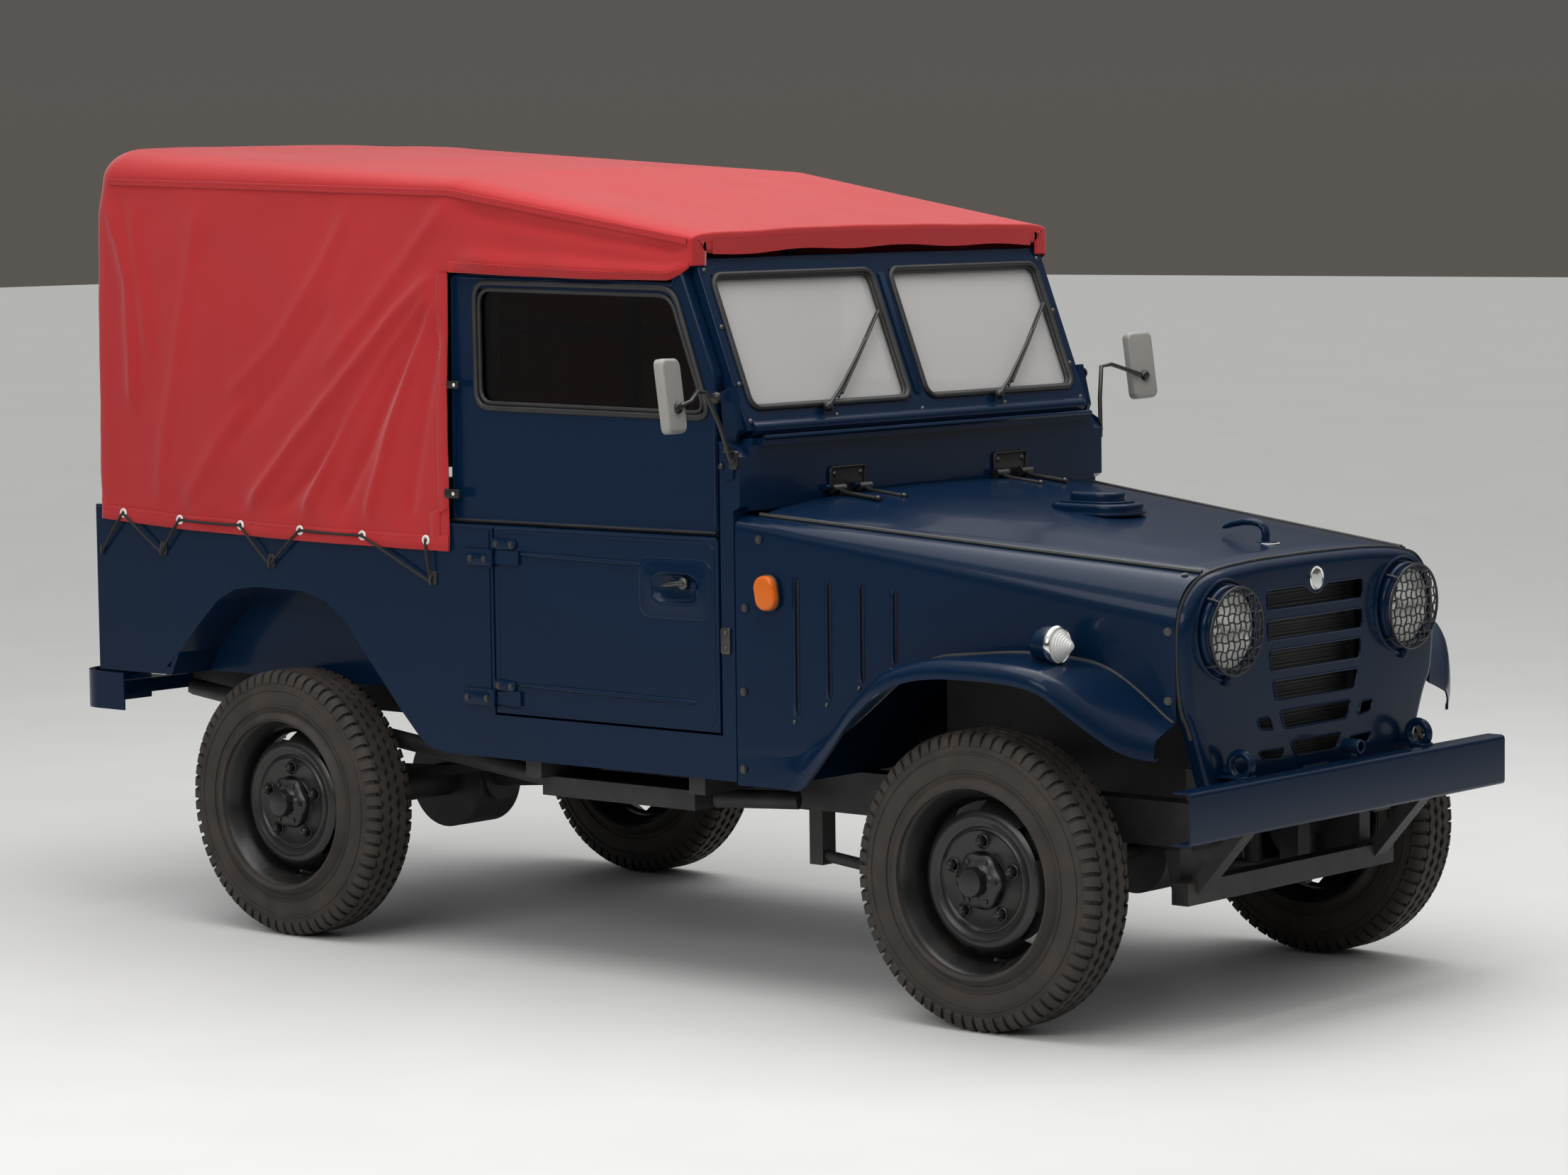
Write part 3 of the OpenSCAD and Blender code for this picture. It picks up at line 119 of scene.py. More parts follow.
def material(name, color, rough=0.5, metal=0.0, coat=0.0, var=0.12, scale=5.0, bump=(90, 0.05),
             rough_var=0.08, fixed=None, dust=None):
    m = bpy.data.materials.new(name)
    m.use_nodes = True
    nt = m.node_tree
    b = nt.nodes["Principled BSDF"]
    link = nt.links.new
    at = shader_node(nt, "TexCoord").outputs["Object"]
    n1 = shader_node(nt, "TexNoise", at, Scale=scale, Detail=6)
    mix = nt.nodes.new("ShaderNodeMix")
    mix.data_type = "RGBA"
    mix.inputs[6].default_value = scaled(color, 1 - var)
    mix.inputs[7].default_value = scaled(color, 1 + var)
    link(n1.outputs["Fac"], mix.inputs[0])
    out = mix.outputs[2]
    if dust:
        # patchy dust, more of it on faces that look up
        sep = shader_node(nt, "SeparateXYZ")
        link(shader_node(nt, "NewGeometry").outputs["Normal"], sep.inputs[0])
        n3 = shader_node(nt, "TexNoise", at, Scale=14, Detail=8)
        mul = shader_node(nt, "Math")
        mul.operation = "MULTIPLY"
        mul.use_clamp = True
        patch = shader_node(nt, "MapRange", n1=0.42, n2=0.75, n4=dust[1])
        link(n3.outputs["Fac"], patch.inputs[0])
        up = shader_node(nt, "MapRange", n1=-0.6, n2=0.9, n3=0.35)
        link(sep.outputs[2], up.inputs[0])
        link(patch.outputs[0], mul.inputs[0])
        link(up.outputs[0], mul.inputs[1])
        dm = nt.nodes.new("ShaderNodeMix")
        dm.data_type = "RGBA"
        dm.inputs[7].default_value = (*dust[0], 1)
        link(out, dm.inputs[6])
        link(mul.outputs[0], dm.inputs[0])
        out = dm.outputs[2]
    link(out, b.inputs["Base Color"])
    n2 = shader_node(nt, "TexNoise", at, Scale=scale * 4, Detail=3)
    mr = shader_node(nt, "MapRange", n3=max(0.02, rough - rough_var), n4=min(1, rough + rough_var))
    link(n2.outputs["Fac"], mr.inputs[0])
    link(mr.outputs[0], b.inputs["Roughness"])
    b.inputs["Metallic"].default_value = metal
    b.inputs["Coat Weight"].default_value = coat
    b.inputs["Coat Roughness"].default_value = 0.04
    for key, value in (fixed or {}).items():
        b.inputs[key].default_value = value
    if bump:
        nb = shader_node(nt, "TexNoise", at, Scale=bump[0], Detail=2)
        bp = shader_node(nt, "Bump", Strength=bump[1], Distance=0.002)
        link(nb.outputs["Fac"], bp.inputs["Height"])
        link(bp.outputs[0], b.inputs["Normal"])
        if coat:
            link(bp.outputs[0], b.inputs["Coat Normal"])
    return m


def canvas_material():
    m = material("canvas", (0.41, 0.021, 0.024), 0.88, var=0.10, scale=2.2, bump=None, rough_var=0.06,
                 fixed={"Specular IOR Level": 0.25, "Sheen Weight": 0.42, "Sheen Roughness": 0.38,
                        "Sheen Tint": (1.0, 0.80, 0.80, 1)})
    nt = m.node_tree
    link = nt.links.new
    at = shader_node(nt, "TexCoord").outputs["Object"]
    # weave: fine threads both ways, with slubs
    add = shader_node(nt, "Math")
    add.operation = "ADD"
    for i, axis in enumerate("XZ"):
        w = shader_node(nt, "TexWave", at, Scale=170, Distortion=1.2, Detail=1)
        w.bands_direction = axis
        link(w.outputs["Fac"], add.inputs[i])
    slub = shader_node(nt, "TexNoise", at, Scale=320)
    a2 = shader_node(nt, "Math")
    a2.operation = "ADD"
    link(add.outputs[0], a2.inputs[0])
    link(slub.outputs["Fac"], a2.inputs[1])
    # soft puckers of the cloth, a few centimetres long
    pk = shader_node(nt, "TexNoise", at, Scale=9, Detail=4)
    b1 = shader_node(nt, "Bump", Strength=0.16, Distance=0.004)
    link(pk.outputs["Fac"], b1.inputs["Height"])
    b2 = shader_node(nt, "Bump", Strength=0.22, Distance=0.0006)
    link(a2.outputs[0], b2.inputs["Height"])
    link(b1.outputs[0], b2.inputs["Normal"])
    link(b2.outputs[0], nt.nodes["Principled BSDF"].inputs["Normal"])
    return m


M = {
    "paint": material("paint", (0.0021, 0.0124, 0.0368), 0.24, coat=0.15, var=0.10, scale=1.6,
                      bump=(45, 0.008),
                      rough_var=0.04, fixed={"Coat IOR": 1.38, "Specular IOR Level": 0.12}),
    "chassis": material("chassis_black", (0.016, 0.016, 0.017), 0.55, var=0.3, scale=9, bump=(140, 0.25),
                        dust=((0.10, 0.085, 0.07), 0.35)),
    "engine": material("engine", (0.05, 0.05, 0.052), 0.6, var=0.3, scale=12, bump=(120, 0.4),
                       dust=((0.10, 0.08, 0.06), 0.4)),
    "glass": material("glass", (0.66, 0.64, 0.63), 0.05, var=0.02, bump=None, rough_var=0.015,
                      fixed={"Transmission Weight": 0.42, "IOR": 1.25}),
    "side_glass": material("side_glass", (0.50, 0.42, 0.42), 0.03, var=0.05, bump=None, rough_var=0.015,
                           fixed={"Transmission Weight": 1.0, "IOR": 1.18}),
    "canvas": canvas_material(),
    "leather": material("seat_cover", (0.030, 0.022, 0.017), 0.5, var=0.3, scale=18, bump=(220, 0.5)),
    "plastic": material("black_plastic", (0.012, 0.012, 0.012), 0.38, var=0.2, scale=20, bump=(200, 0.15)),
    "rubber": material("rubber", (0.012, 0.012, 0.0125), 0.5, var=0.3, scale=20, bump=(180, 0.2),
                       dust=((0.07, 0.065, 0.06), 0.25)),
    "tyre": material("tyre", (0.031, 0.0262, 0.0232), 0.7, var=0.25, scale=14, bump=(160, 0.35),
                     rough_var=0.1,
                     dust=((0.075, 0.056, 0.042), 0.55), fixed={"Specular IOR Level": 0.35}),
    "wheel": material("wheel_black", (0.008, 0.0078, 0.0078), 0.33, var=0.25, scale=12, bump=(120, 0.10),
                      dust=((0.05, 0.042, 0.036), 0.3)),
    "chrome": material("chrome", (0.80, 0.80, 0.79), 0.10, metal=1, var=0.06, scale=30, bump=(150, 0.02)),
    "steel": material("dark_steel", (0.10, 0.10, 0.10), 0.4, metal=1, var=0.2, scale=30, bump=(150, 0.1)),
    "wire": material("guard_wire", (0.010, 0.010, 0.011), 0.35, var=0.2, scale=40, bump=(300, 0.1)),
    "reflector": material("reflector", (0.90, 0.91, 0.92), 0.34, metal=1, var=0.05, scale=20,
                          bump=(40, 0.05)),
    "lens": material("lamp_lens", (0.93, 0.93, 0.90), 0.08, var=0.03, bump=(120, 0.15), rough_var=0.03,
                     fixed={"Transmission Weight": 0.9, "IOR": 1.12}),
    "lens_white": material("position_lens", (0.86, 0.86, 0.83), 0.12, var=0.04, scale=40, bump=(200, 0.1),
                           rough_var=0.03,
                           fixed={"Transmission Weight": 0.3, "IOR": 1.4}),
    "amber": material("amber", (0.85, 0.17, 0.015), 0.16, var=0.1, scale=60, bump=(200, 0.2),
                      fixed={"Transmission Weight": 0.25, "IOR": 1.4}),
    "red_lens": material("red_lens", (0.45, 0.012, 0.012), 0.16, var=0.1, scale=60, bump=(200, 0.2),
                         fixed={"Transmission Weight": 0.25, "IOR": 1.4}),
    "mirror_grey": material("mirror_grey", (0.26, 0.255, 0.235), 0.42, var=0.08, scale=12, bump=(160, 0.08)),
    "mirror_face": material("mirror_face", (0.85, 0.86, 0.87), 0.04, metal=1, var=0.02, bump=None,
                            rough_var=0.01),
    "eyelet": material("white_eyelet", (0.72, 0.71, 0.68), 0.35, var=0.06, scale=60, bump=(300, 0.1)),
    "elastic": material("elastic", (0.012, 0.012, 0.012), 0.75, var=0.3, scale=90, bump=(600, 0.6)),
    # near-black for painted shade: strips and sheets put where there is only shadow
    "dark": material("painted_shade_black", (0.003, 0.003, 0.003), 0.8, var=0.2, scale=20, bump=(100, 0.1)),
}
BY_RECORD = {"paint": "paint", "chassis_black": "chassis", "engine": "engine", "glass": "glass",
             "side_glass": "side_glass", "canvas": "canvas", "seat_cover": "leather",
             "black_plastic": "plastic",
             "tyre": "tyre", "wheel_black": "wheel", "lamp_lens": "lens", "mirror_grey": "mirror_grey"}
for part in frame["record"]["subparts"]:
    o = nodes.get(part["node"])
    if o:
        o.data.materials.clear()
        o.data.materials.append(M[BY_RECORD.get(part.get("material_slot"), "paint")])
        o.data.shade_smooth()
        o.data.set_sharp_from_angle(angle=math.radians(28))

# ---------- mesh helpers ----------


def piece(name, vf, mat, body, replaces=(), smooth=35, solid=0.0, subsurf=0, bevel=0.0):
    """Object from vertices and faces in mm, or a list of such pairs, riding a body by name."""
    if isinstance(vf, list):
        vf = join(*vf)
    me = bpy.data.meshes.new(name)
    me.from_pydata([(p[0] * 0.001, p[1] * 0.001, p[2] * 0.001) for p in vf[0]], [], vf[1])
    bm = bmesh.new()
    bm.from_mesh(me)
    bmesh.ops.remove_doubles(bm, verts=bm.verts, dist=1e-6)
    bmesh.ops.recalc_face_normals(bm, faces=bm.faces)
    bm.to_mesh(me)
    bm.free()
    me.update()
    ob = bpy.data.objects.new(name, me)
    scene.collection.objects.link(ob)
    me.materials.append(M[mat])
    if solid:
        md = ob.modifiers.new("solid", "SOLIDIFY")
        md.thickness = abs(solid) * 0.001
        md.offset = -1 if solid > 0 else 1
    if bevel:
        md = ob.modifiers.new("bevel", "BEVEL")
        md.width = bevel * 0.001
        md.segments = 3
        md.limit_method = "ANGLE"
        md.angle_limit = math.radians(40)
    if subsurf:
        md = ob.modifiers.new("sub", "SUBSURF")
        md.levels = md.render_levels = subsurf
    if ob.modifiers:
        bpy.context.view_layer.update()
        shaped = ob.evaluated_get(bpy.context.evaluated_depsgraph_get())
        me = bpy.data.meshes.new_from_object(shaped)
        ob.modifiers.clear()
        ob.data = me
    me.shade_smooth()
    if smooth:
        me.set_sharp_from_angle(angle=math.radians(smooth))
    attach(ob, body)
    if replaces:
        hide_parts(*replaces)
    return ob


def join(*parts):
    v, f = [], []
    for pv, pf in parts:
        n = len(v)
        v += [tuple(p) for p in pv]
        f += [tuple(i + n for i in q) for q in pf]
    return v, f


def flip(vf):
    return [(p[0], -p[1], p[2]) for p in vf[0]], [tuple(reversed(q)) for q in vf[1]]


def both(vf):
    return join(vf, flip(vf))


def place(vf, pos, z=(0, 0, 1), x=None):
    z = Vector(z).normalized()
    x = Vector(x) if x else (Vector((1, 0, 0)) if abs(z.x) < 0.9 else Vector((0, 0, 1)))
    x = (x - z * x.dot(z)).normalized()
    m = Matrix((x, z.cross(x), z)).transposed()
    return [tuple(m @ Vector(p) + Vector(pos)) for p in vf[0]], vf[1]


def lathe(profile, n=32, skip=None):
    """Profile of (radius, height) about Z; skip(i, j) leaves a quad out."""
    v, f = [], []
    for r, h in profile:
        for j in range(n):
            a = 2 * math.pi * j / n
            v.append((r * math.cos(a), r * math.sin(a), h))
    for i in range(len(profile) - 1):
        for j in range(n):
            if skip and skip(i, j):
                continue
            k = (j + 1) % n
            f.append((i * n + j, i * n + k, (i + 1) * n + k, (i + 1) * n + j))
    return v, f


def tube(points, r, n=8, closed=False):
    pts = [Vector(p) for p in points]
    m = len(pts)
    v, f = [], []
    up = None
    for i, p in enumerate(pts):
        a = pts[(i - 1) % m] if closed or i else p
        b = pts[(i + 1) % m] if closed or i < m - 1 else p
        t = (b - a).normalized()
        if up is None:
            up = Vector((0, 0, 1)) if abs(t.z) < 0.9 else Vector((1, 0, 0))
        up = (up - t * up.dot(t)).normalized()
        s = t.cross(up)
        rr = r[i] if hasattr(r, "__len__") else r
        for j in range(n):
            q = 2 * math.pi * j / n
            v.append(tuple(p + (up * math.cos(q) + s * math.sin(q)) * rr))
    for i in range(m if closed else m - 1):
        for j in range(n):
            k = (j + 1) % n
            i2 = (i + 1) % m
            f.append((i * n + j, i * n + k, i2 * n + k, i2 * n + j))
    if not closed:
        f.append(tuple(range(n - 1, -1, -1)))
        f.append(tuple((m - 1) * n + j for j in range(n)))
    return v, f


def turns(n):
    """n angles round a circle."""
    return np.linspace(0, 2 * math.pi, n, endpoint=False)


def ring_faces(bands, n):
    """Quads between rings of n points each."""
    return [(r * n + i, r * n + (i + 1) % n, (r + 1) * n + (i + 1) % n, (r + 1) * n + i)
            for r in range(bands) for i in range(n)]


def prism(outline, h0, h1):
    n = len(outline)
    v = [(p[0], p[1], h0) for p in outline] + [(p[0], p[1], h1) for p in outline]
    f = [tuple(range(n - 1, -1, -1)), tuple(range(n, 2 * n))]
    f += [(i, (i + 1) % n, n + (i + 1) % n, n + i) for i in range(n)]
    return v, f


def cushion_plate(outline, h, r, steps=3):
    """Plate on z=0 with a rounded upper edge."""
    c = Vector((sum(p[0] for p in outline) / len(outline), sum(p[1] for p in outline) / len(outline)))
    n = len(outline)
    rings = [(0, 0), (0, h - r)] + [(r * (1 - math.cos(a)), h - r + r * math.sin(a))
                                     for a in [math.pi / 2 * k / steps for k in range(1, steps + 1)]]
    v = []
    for inset, z in rings:
        for p in outline:
            d = Vector((p[0], p[1])) - c
            k = max(0.0, 1 - inset / max(1e-6, d.length))
            q = c + d * k
            v.append((q.x, q.y, z))
    f = ring_faces(len(rings) - 1, n)
    f.append(tuple(range(n - 1, -1, -1)))
    f.append(tuple((len(rings) - 1) * n + j for j in range(n)))
    return v, f


def rounded(w, h, r, n=6, c=(0, 0)):
    out = []
    for cx, cy, a0 in ((w / 2 - r, h / 2 - r, 0), (-w / 2 + r, h / 2 - r, 90), (-w / 2 + r, -h / 2 + r, 180),
                       (w / 2 - r, -h / 2 + r, 270)):
        for k in range(n + 1):
            a = math.radians(a0 + 90 * k / n)
            out.append((c[0] + cx + r * math.cos(a), c[1] + cy + r * math.sin(a)))
    return out


def round_poly(pts, r, n=5):
    """Polygon with rounded corners."""
    out = []
    m = len(pts)
    for i in range(m):
        p, a, b = Vector(pts[i]), Vector(pts[i - 1]), Vector(pts[(i + 1) % m])
        da, db = (a - p), (b - p)
        k = min(r, da.length * 0.45, db.length * 0.45)
        s, e = p + da.normalized() * k, p + db.normalized() * k
        for j in range(n + 1):
            t = j / n
            q = s * (1 - t) ** 2 + p * 2 * t * (1 - t) + e * t * t
            out.append((q.x, q.y))
    return out


def hexbolt(r=9, h=6, washer=True):
    out = prism([(r * math.cos(math.radians(60 * k + 10)), r * math.sin(math.radians(60 * k + 10)))
                 for k in range(6)], 0, h)
    if washer:
        out = join(out, lathe([(r * 1.35, 0), (r * 1.35, 1.6), (0, 1.8)], 16))
    return out


def dome(r=7, h=3.5):
    return lathe([(r, 0), (r * 0.96, h * 0.35), (r * 0.75, h * 0.75), (r * 0.4, h * 0.96), (0.01, h)], 12)


def plate(outline, edge, *at, **kw):
    """Rounded plate (w, h, r...) with (thickness, edge radius...), set in place."""
    return place(cushion_plate(rounded(*outline), *edge), *at, **kw)


def turned(profile, n, *at, **kw):
    return place(lathe(profile, n), *at, **kw)


def bolts_at(points, normal, kind=dome, **kw):
    return join(*[place(kind(**kw), p, normal) for p in points])


def grid(nu, nv, fn, keep=None):
    v = [tuple(fn(i, j)) for i in range(nu) for j in range(nv)]
    f = [(i * nv + j, (i + 1) * nv + j, (i + 1) * nv + j + 1, i * nv + j + 1)
         for i in range(nu - 1) for j in range(nv - 1) if keep is None or keep(i, j)]
    return v, f


def smooth_lookup(x, pts, w=26):
    xs = [p[0] for p in pts]
    ys = [p[1] for p in pts]
    return float(np.mean([np.interp(x + d, xs, ys) for d in np.linspace(-w, w, 9)]))


def step(a, b, x):
    t = min(1, max(0, (x - a) / (b - a)))
    return t * t * (3 - 2 * t)


# ---------- floor and light ----------


def stage():
    me = bpy.data.meshes.new("floor")
    s = 60
    me.from_pydata([(-s, -s, 0), (s, -s, 0), (s, s, 0), (-s, s, 0)], [], [(0, 1, 2, 3)])
    ob = bpy.data.objects.new("floor", me)
    scene.collection.objects.link(ob)
    ob.location.z = -0.001
    me.materials.append(material("floor", (0.72, 0.725, 0.71), 0.55, var=0.03, scale=0.8, bump=(30, 0.02)))
    w = bpy.data.worlds.new("world")
    scene.world = w
    w.use_nodes = True
    nt = w.node_tree
    bg = nt.nodes["Background"]
    tc = nt.nodes.new("ShaderNodeTexCoord")
    sep = nt.nodes.new("ShaderNodeSeparateXYZ")
    ramp = nt.nodes.new("ShaderNodeValToRGB")
    nt.links.new(tc.outputs["Generated"], sep.inputs[0])
    nt.links.new(sep.outputs[2], ramp.inputs[0])
    nt.links.new(ramp.outputs[0], bg.inputs[0])
    e = ramp.color_ramp.elements
    e[0].position, e[0].color = 0.0, (0.100, 0.093, 0.084, 1)
    e[1].position, e[1].color = 1.0, (0.95, 0.95, 0.95, 1)
    for pos, val in ((0.12, 0.090), (0.30, 0.18), (0.55, 0.62)):
        k = ramp.color_ramp.elements.new(pos)
        k.color = (val, val, val, 1)
    bg.inputs[1].default_value = 1.0
    for name, loc, size, power in (("top", (0.4, 0, 4.6), (6.5, 3.6), 190),
                                   ("side", (2.0, -8.5, 5.0), (7, 3.0), 255)):
        d = bpy.data.lights.new(name, "AREA")
        d.shape = "RECTANGLE"
        d.size, d.size_y = size
        d.energy = power
        ob = bpy.data.objects.new(name, d)
        scene.collection.objects.link(ob)
        ob.location = loc
        target = Vector((0, 0, 0.8))
        ob.rotation_euler = (target - Vector(loc)).to_track_quat("-Z", "Y").to_euler()


stage()

# ---------- wings, bonnet and grille: smooth skins over the CAD lines ----------
# (x, z) of the wing's bead and of its lip, and (x, share) of how far the mudguard flares out
BEAD = [(530, 560), (690, 570), (805, 625), (905, 710), (1000, 790), (1060, 814), (1225, 829), (1280, 831),
        (1400, 823), (1460, 811), (1515, 782), (1575, 735), (1632, 685)]
LIP = [(530, 492), (675, 490), (690, 477), (805, 581), (905, 670), (1000, 735), (1060, 762), (1130, 780),
       (1200, 788), (1310, 789), (1400, 786), (1468, 774), (1500, 752), (1530, 717), (1573, 660), (1602, 625),
       (1618, 617), (1632, 615)]
FLARE = [(530, 0), (675, .02), (805, .42), (905, .72), (1000, .92), (1100, 1), (1460, 1), (1500, .96),
         (1530, .86), (1573, .64), (1602, .48), (1618, .36), (1632, .22)]
FLARE_Y = 787.0


def wing_t(x):
    return min(1.0, max(0.0, (x - cowl_x) / 1104))


def seal_y(x):
    return 648 - 249 * wing_t(x)


def seal_z(x):
    return 1112 - 104 * wing_t(x)


def wing_y(x):
    return 688 - 183 * wing_t(x) ** 0.96


def section(x):
    """Control points of the wing's skin at x, top to lip, as (y, z)."""
    t = wing_t(x)
    sy, sz, wy = seal_y(x), seal_z(x), wing_y(x)
    drop = 26 + 84 * t
    bead = smooth_lookup(x, BEAD)
    lip = smooth_lookup(x, LIP)
    out = wy + (FLARE_Y - wy) * smooth_lookup(x, FLARE)
    z1 = lip + 42
    pts = [(sy, sz)]
    for a in range(9, 90, 9):
        q = math.radians(a)
        pts.append((sy + (wy - sy) * math.sin(q), sz - drop + drop * math.cos(q)))
    pts.append((wy, sz - drop))
    for k in (0.2, 0.4, 0.6, 0.8, 0.93):
        pts.append((wy + k, sz - drop + (bead - sz + drop) * k))
    pts.append((wy + 1, bead))
    wide = out - wy
    for k in (0.06, 0.15, 0.3, 0.45, 0.6, 0.75, 0.88):
        pts.append((wy + wide * k, bead + (z1 - bead) * (k - 0.10 * math.sin(math.pi * k) * (wide / 200))))
    for a in (0.95, 0.985, 1.0):
        pts.append((wy + wide * a, z1 - (5, 14, 24)[(0.95, 0.985, 1.0).index(a)]))
    pts.append((out, lip + 6))
    pts.append((out - 1, lip))
    pts.append((out - 14, lip + 1))
    return pts


WING_X = [530, 545, 565, 590, 620, 650, 670, 690, 715, 745, 775, 805, 840, 875, 905, 940, 975, 1000, 1030,
          1060, 1100,
          1150, 1200, 1250, 1300, 1350, 1400, 1430, 1460, 1480, 1500, 1515, 1530, 1545, 1560, 1575, 1590,
          1602, 1612,
          1622, 1632]
# louvres behind each wheel: (x, z low, z high)
LOUVRES = [(684, 660, 978), (768, 703, 974), (852, 745, 969), (936, 790, 957)]


def wing_skin():
    """Skin through the sections, cut to about 12 mm along and 15 mm down."""
    fine_x = []
    for a, b in zip(WING_X, WING_X[1:]):
        n = max(1, round((b - a) / 12))
        fine_x += [a + (b - a) * k / n for k in range(n)]
    fine_x.append(WING_X[-1])
    cut = []
    for row in [section(x) for x in fine_x]:
        cut.append([(*p, *q) for p, q in zip(row, row[1:])])
    seg_n = [max(1, min(9, round(max(math.hypot(c[k][2] - c[k][0], c[k][3] - c[k][1]) for c in cut) / 15)))
             for k in range(len(cut[0]))]
    v = []
    for x, c in zip(fine_x, cut):
        line = []
        for k, (y0, z0, y1, z1) in enumerate(c):
            for s in range(seg_n[k]):
                u = s / seg_n[k]
                line.append((y0 + (y1 - y0) * u, z0 + (z1 - z0) * u))
        line.append((c[-1][2], c[-1][3]))
        v.append([(x, y, z) for y, z in line])
    return grid(len(v), len(v[0]), lambda i, j: v[i][j])


piece("wing_skins", both(wing_skin()), "paint", "body", replaces=("front_wings",), smooth=60, solid=4)


def wing_at(x, z):
    """Outer y of the wing's side at x, z."""
    pts = section(x)
    for (y0, z0), (y1, z1) in zip(pts, pts[1:]):
        if z1 <= z <= z0:
            return y0 + (y1 - y0) * (z0 - z) / max(1e-6, z0 - z1)
    return wing_y(x)


def louvre(x, z0, z1, w=15):
    """Pressed blister open to the rear; the dark slot behind its lip is painted shade, a black strip made
    separately.
    """
    n = 18
    v, f = [], []
    for i in range(n + 1):
        u = i / n
        z = z0 + (z1 - z0) * u
        k = min(1.0, min(u, 1 - u) / 0.07)
        k = math.sqrt(max(0.0, 1 - (1 - k) ** 2))
        for j in range(7):
            s = j / 6
            xx = x - w / 2 + w * s
            out = 7.5 * k * math.sin(min(1, s * 1.15) * math.pi / 2) * (1 - step(0.86, 1.0, s))
            v.append((xx, wing_at(xx, z) + max(0.2, out), z))
    for i in range(n):
        for j in range(6):
            f.append((i * 7 + j, i * 7 + j + 1, (i + 1) * 7 + j + 1, (i + 1) * 7 + j))
    return v, f


lou = join(*[louvre(*a) for a in LOUVRES])
piece("wing_louvres", both(lou), "paint", "body", solid=2.5, smooth=50)
# black strips in the louvres' openings: painted shade for the shadow inside each slot
slot = join(*[grid(2, 12, lambda i, j, a=a: (a[0] + 8 + 3.5 * i,
                                             wing_at(a[0] + 9, a[1] + (a[2] - a[1]) * (0.02 + 0.96 * j / 11))
                                            + 4.0 - 3.2 * i, a[1] + (a[2] - a[1]) * (0.02 + 0.96 * j / 11)))
              for a in LOUVRES])
piece("louvre_slot_painted_shade", both(slot), "dark", "body", smooth=0)

# bead line along the wing: a black seal with a bright painted edge under it
line = [(x, wing_y(x) + 2.5, smooth_lookup(x, BEAD)) for x in np.linspace(1036, 1628, 50)]
piece("wing_seals", both(tube(line, 4.2, 8)), "rubber", "body")
line = [(x, wing_y(x) + 7.5, smooth_lookup(x, BEAD) - 6) for x in np.linspace(1030, 1628, 50)]
piece("wing_bead_edges", both(tube(line, 2.6, 8)), "paint", "body")
# rubber line between bonnet and wing
line = [(x, seal_y(x) - 5, seal_z(x) + 3.5) for x in np.linspace(562, 1625, 40)]
piece("bonnet_seals", both(tube(line, 6.0, 8)), "rubber", "body")


def bonnet_z(x, u):
    t = wing_t(x)
    return seal_z(x) + 2 + 36 * (1 - 0.45 * t) * (1 - u * u * (0.55 + 0.45 * u * u))


def bonnet_skin():
    xs = [561 + (1626 - 561) * k / 44 for k in range(45)]
    us = [-1, -0.985, -0.95] + [-0.9 + 1.8 * k / 24 for k in range(25)] + [0.95, 0.985, 1]

    def at(i, j):
        x, u = xs[i], us[j]
        w = seal_y(x) - 13
        front = step(1590, 1626, x)
        z = bonnet_z(x, u) + 3.0
        # edge rolls down; a low raised step runs along each side, and the nose turns down
        z -= 5 * step(0.955, 1.0, abs(u)) + 7 * front * front
        z += 3.0 * step(0.70, 0.66, abs(u)) * step(570, 610, x) * (1 - step(1440, 1560, x))
        return (x, w * u, z)

    return grid(len(xs), len(us), at)


piece("bonnet_skin", bonnet_skin(), "paint", "bonnet", replaces=("bonnet",), smooth=45, solid=9, bevel=1.5)


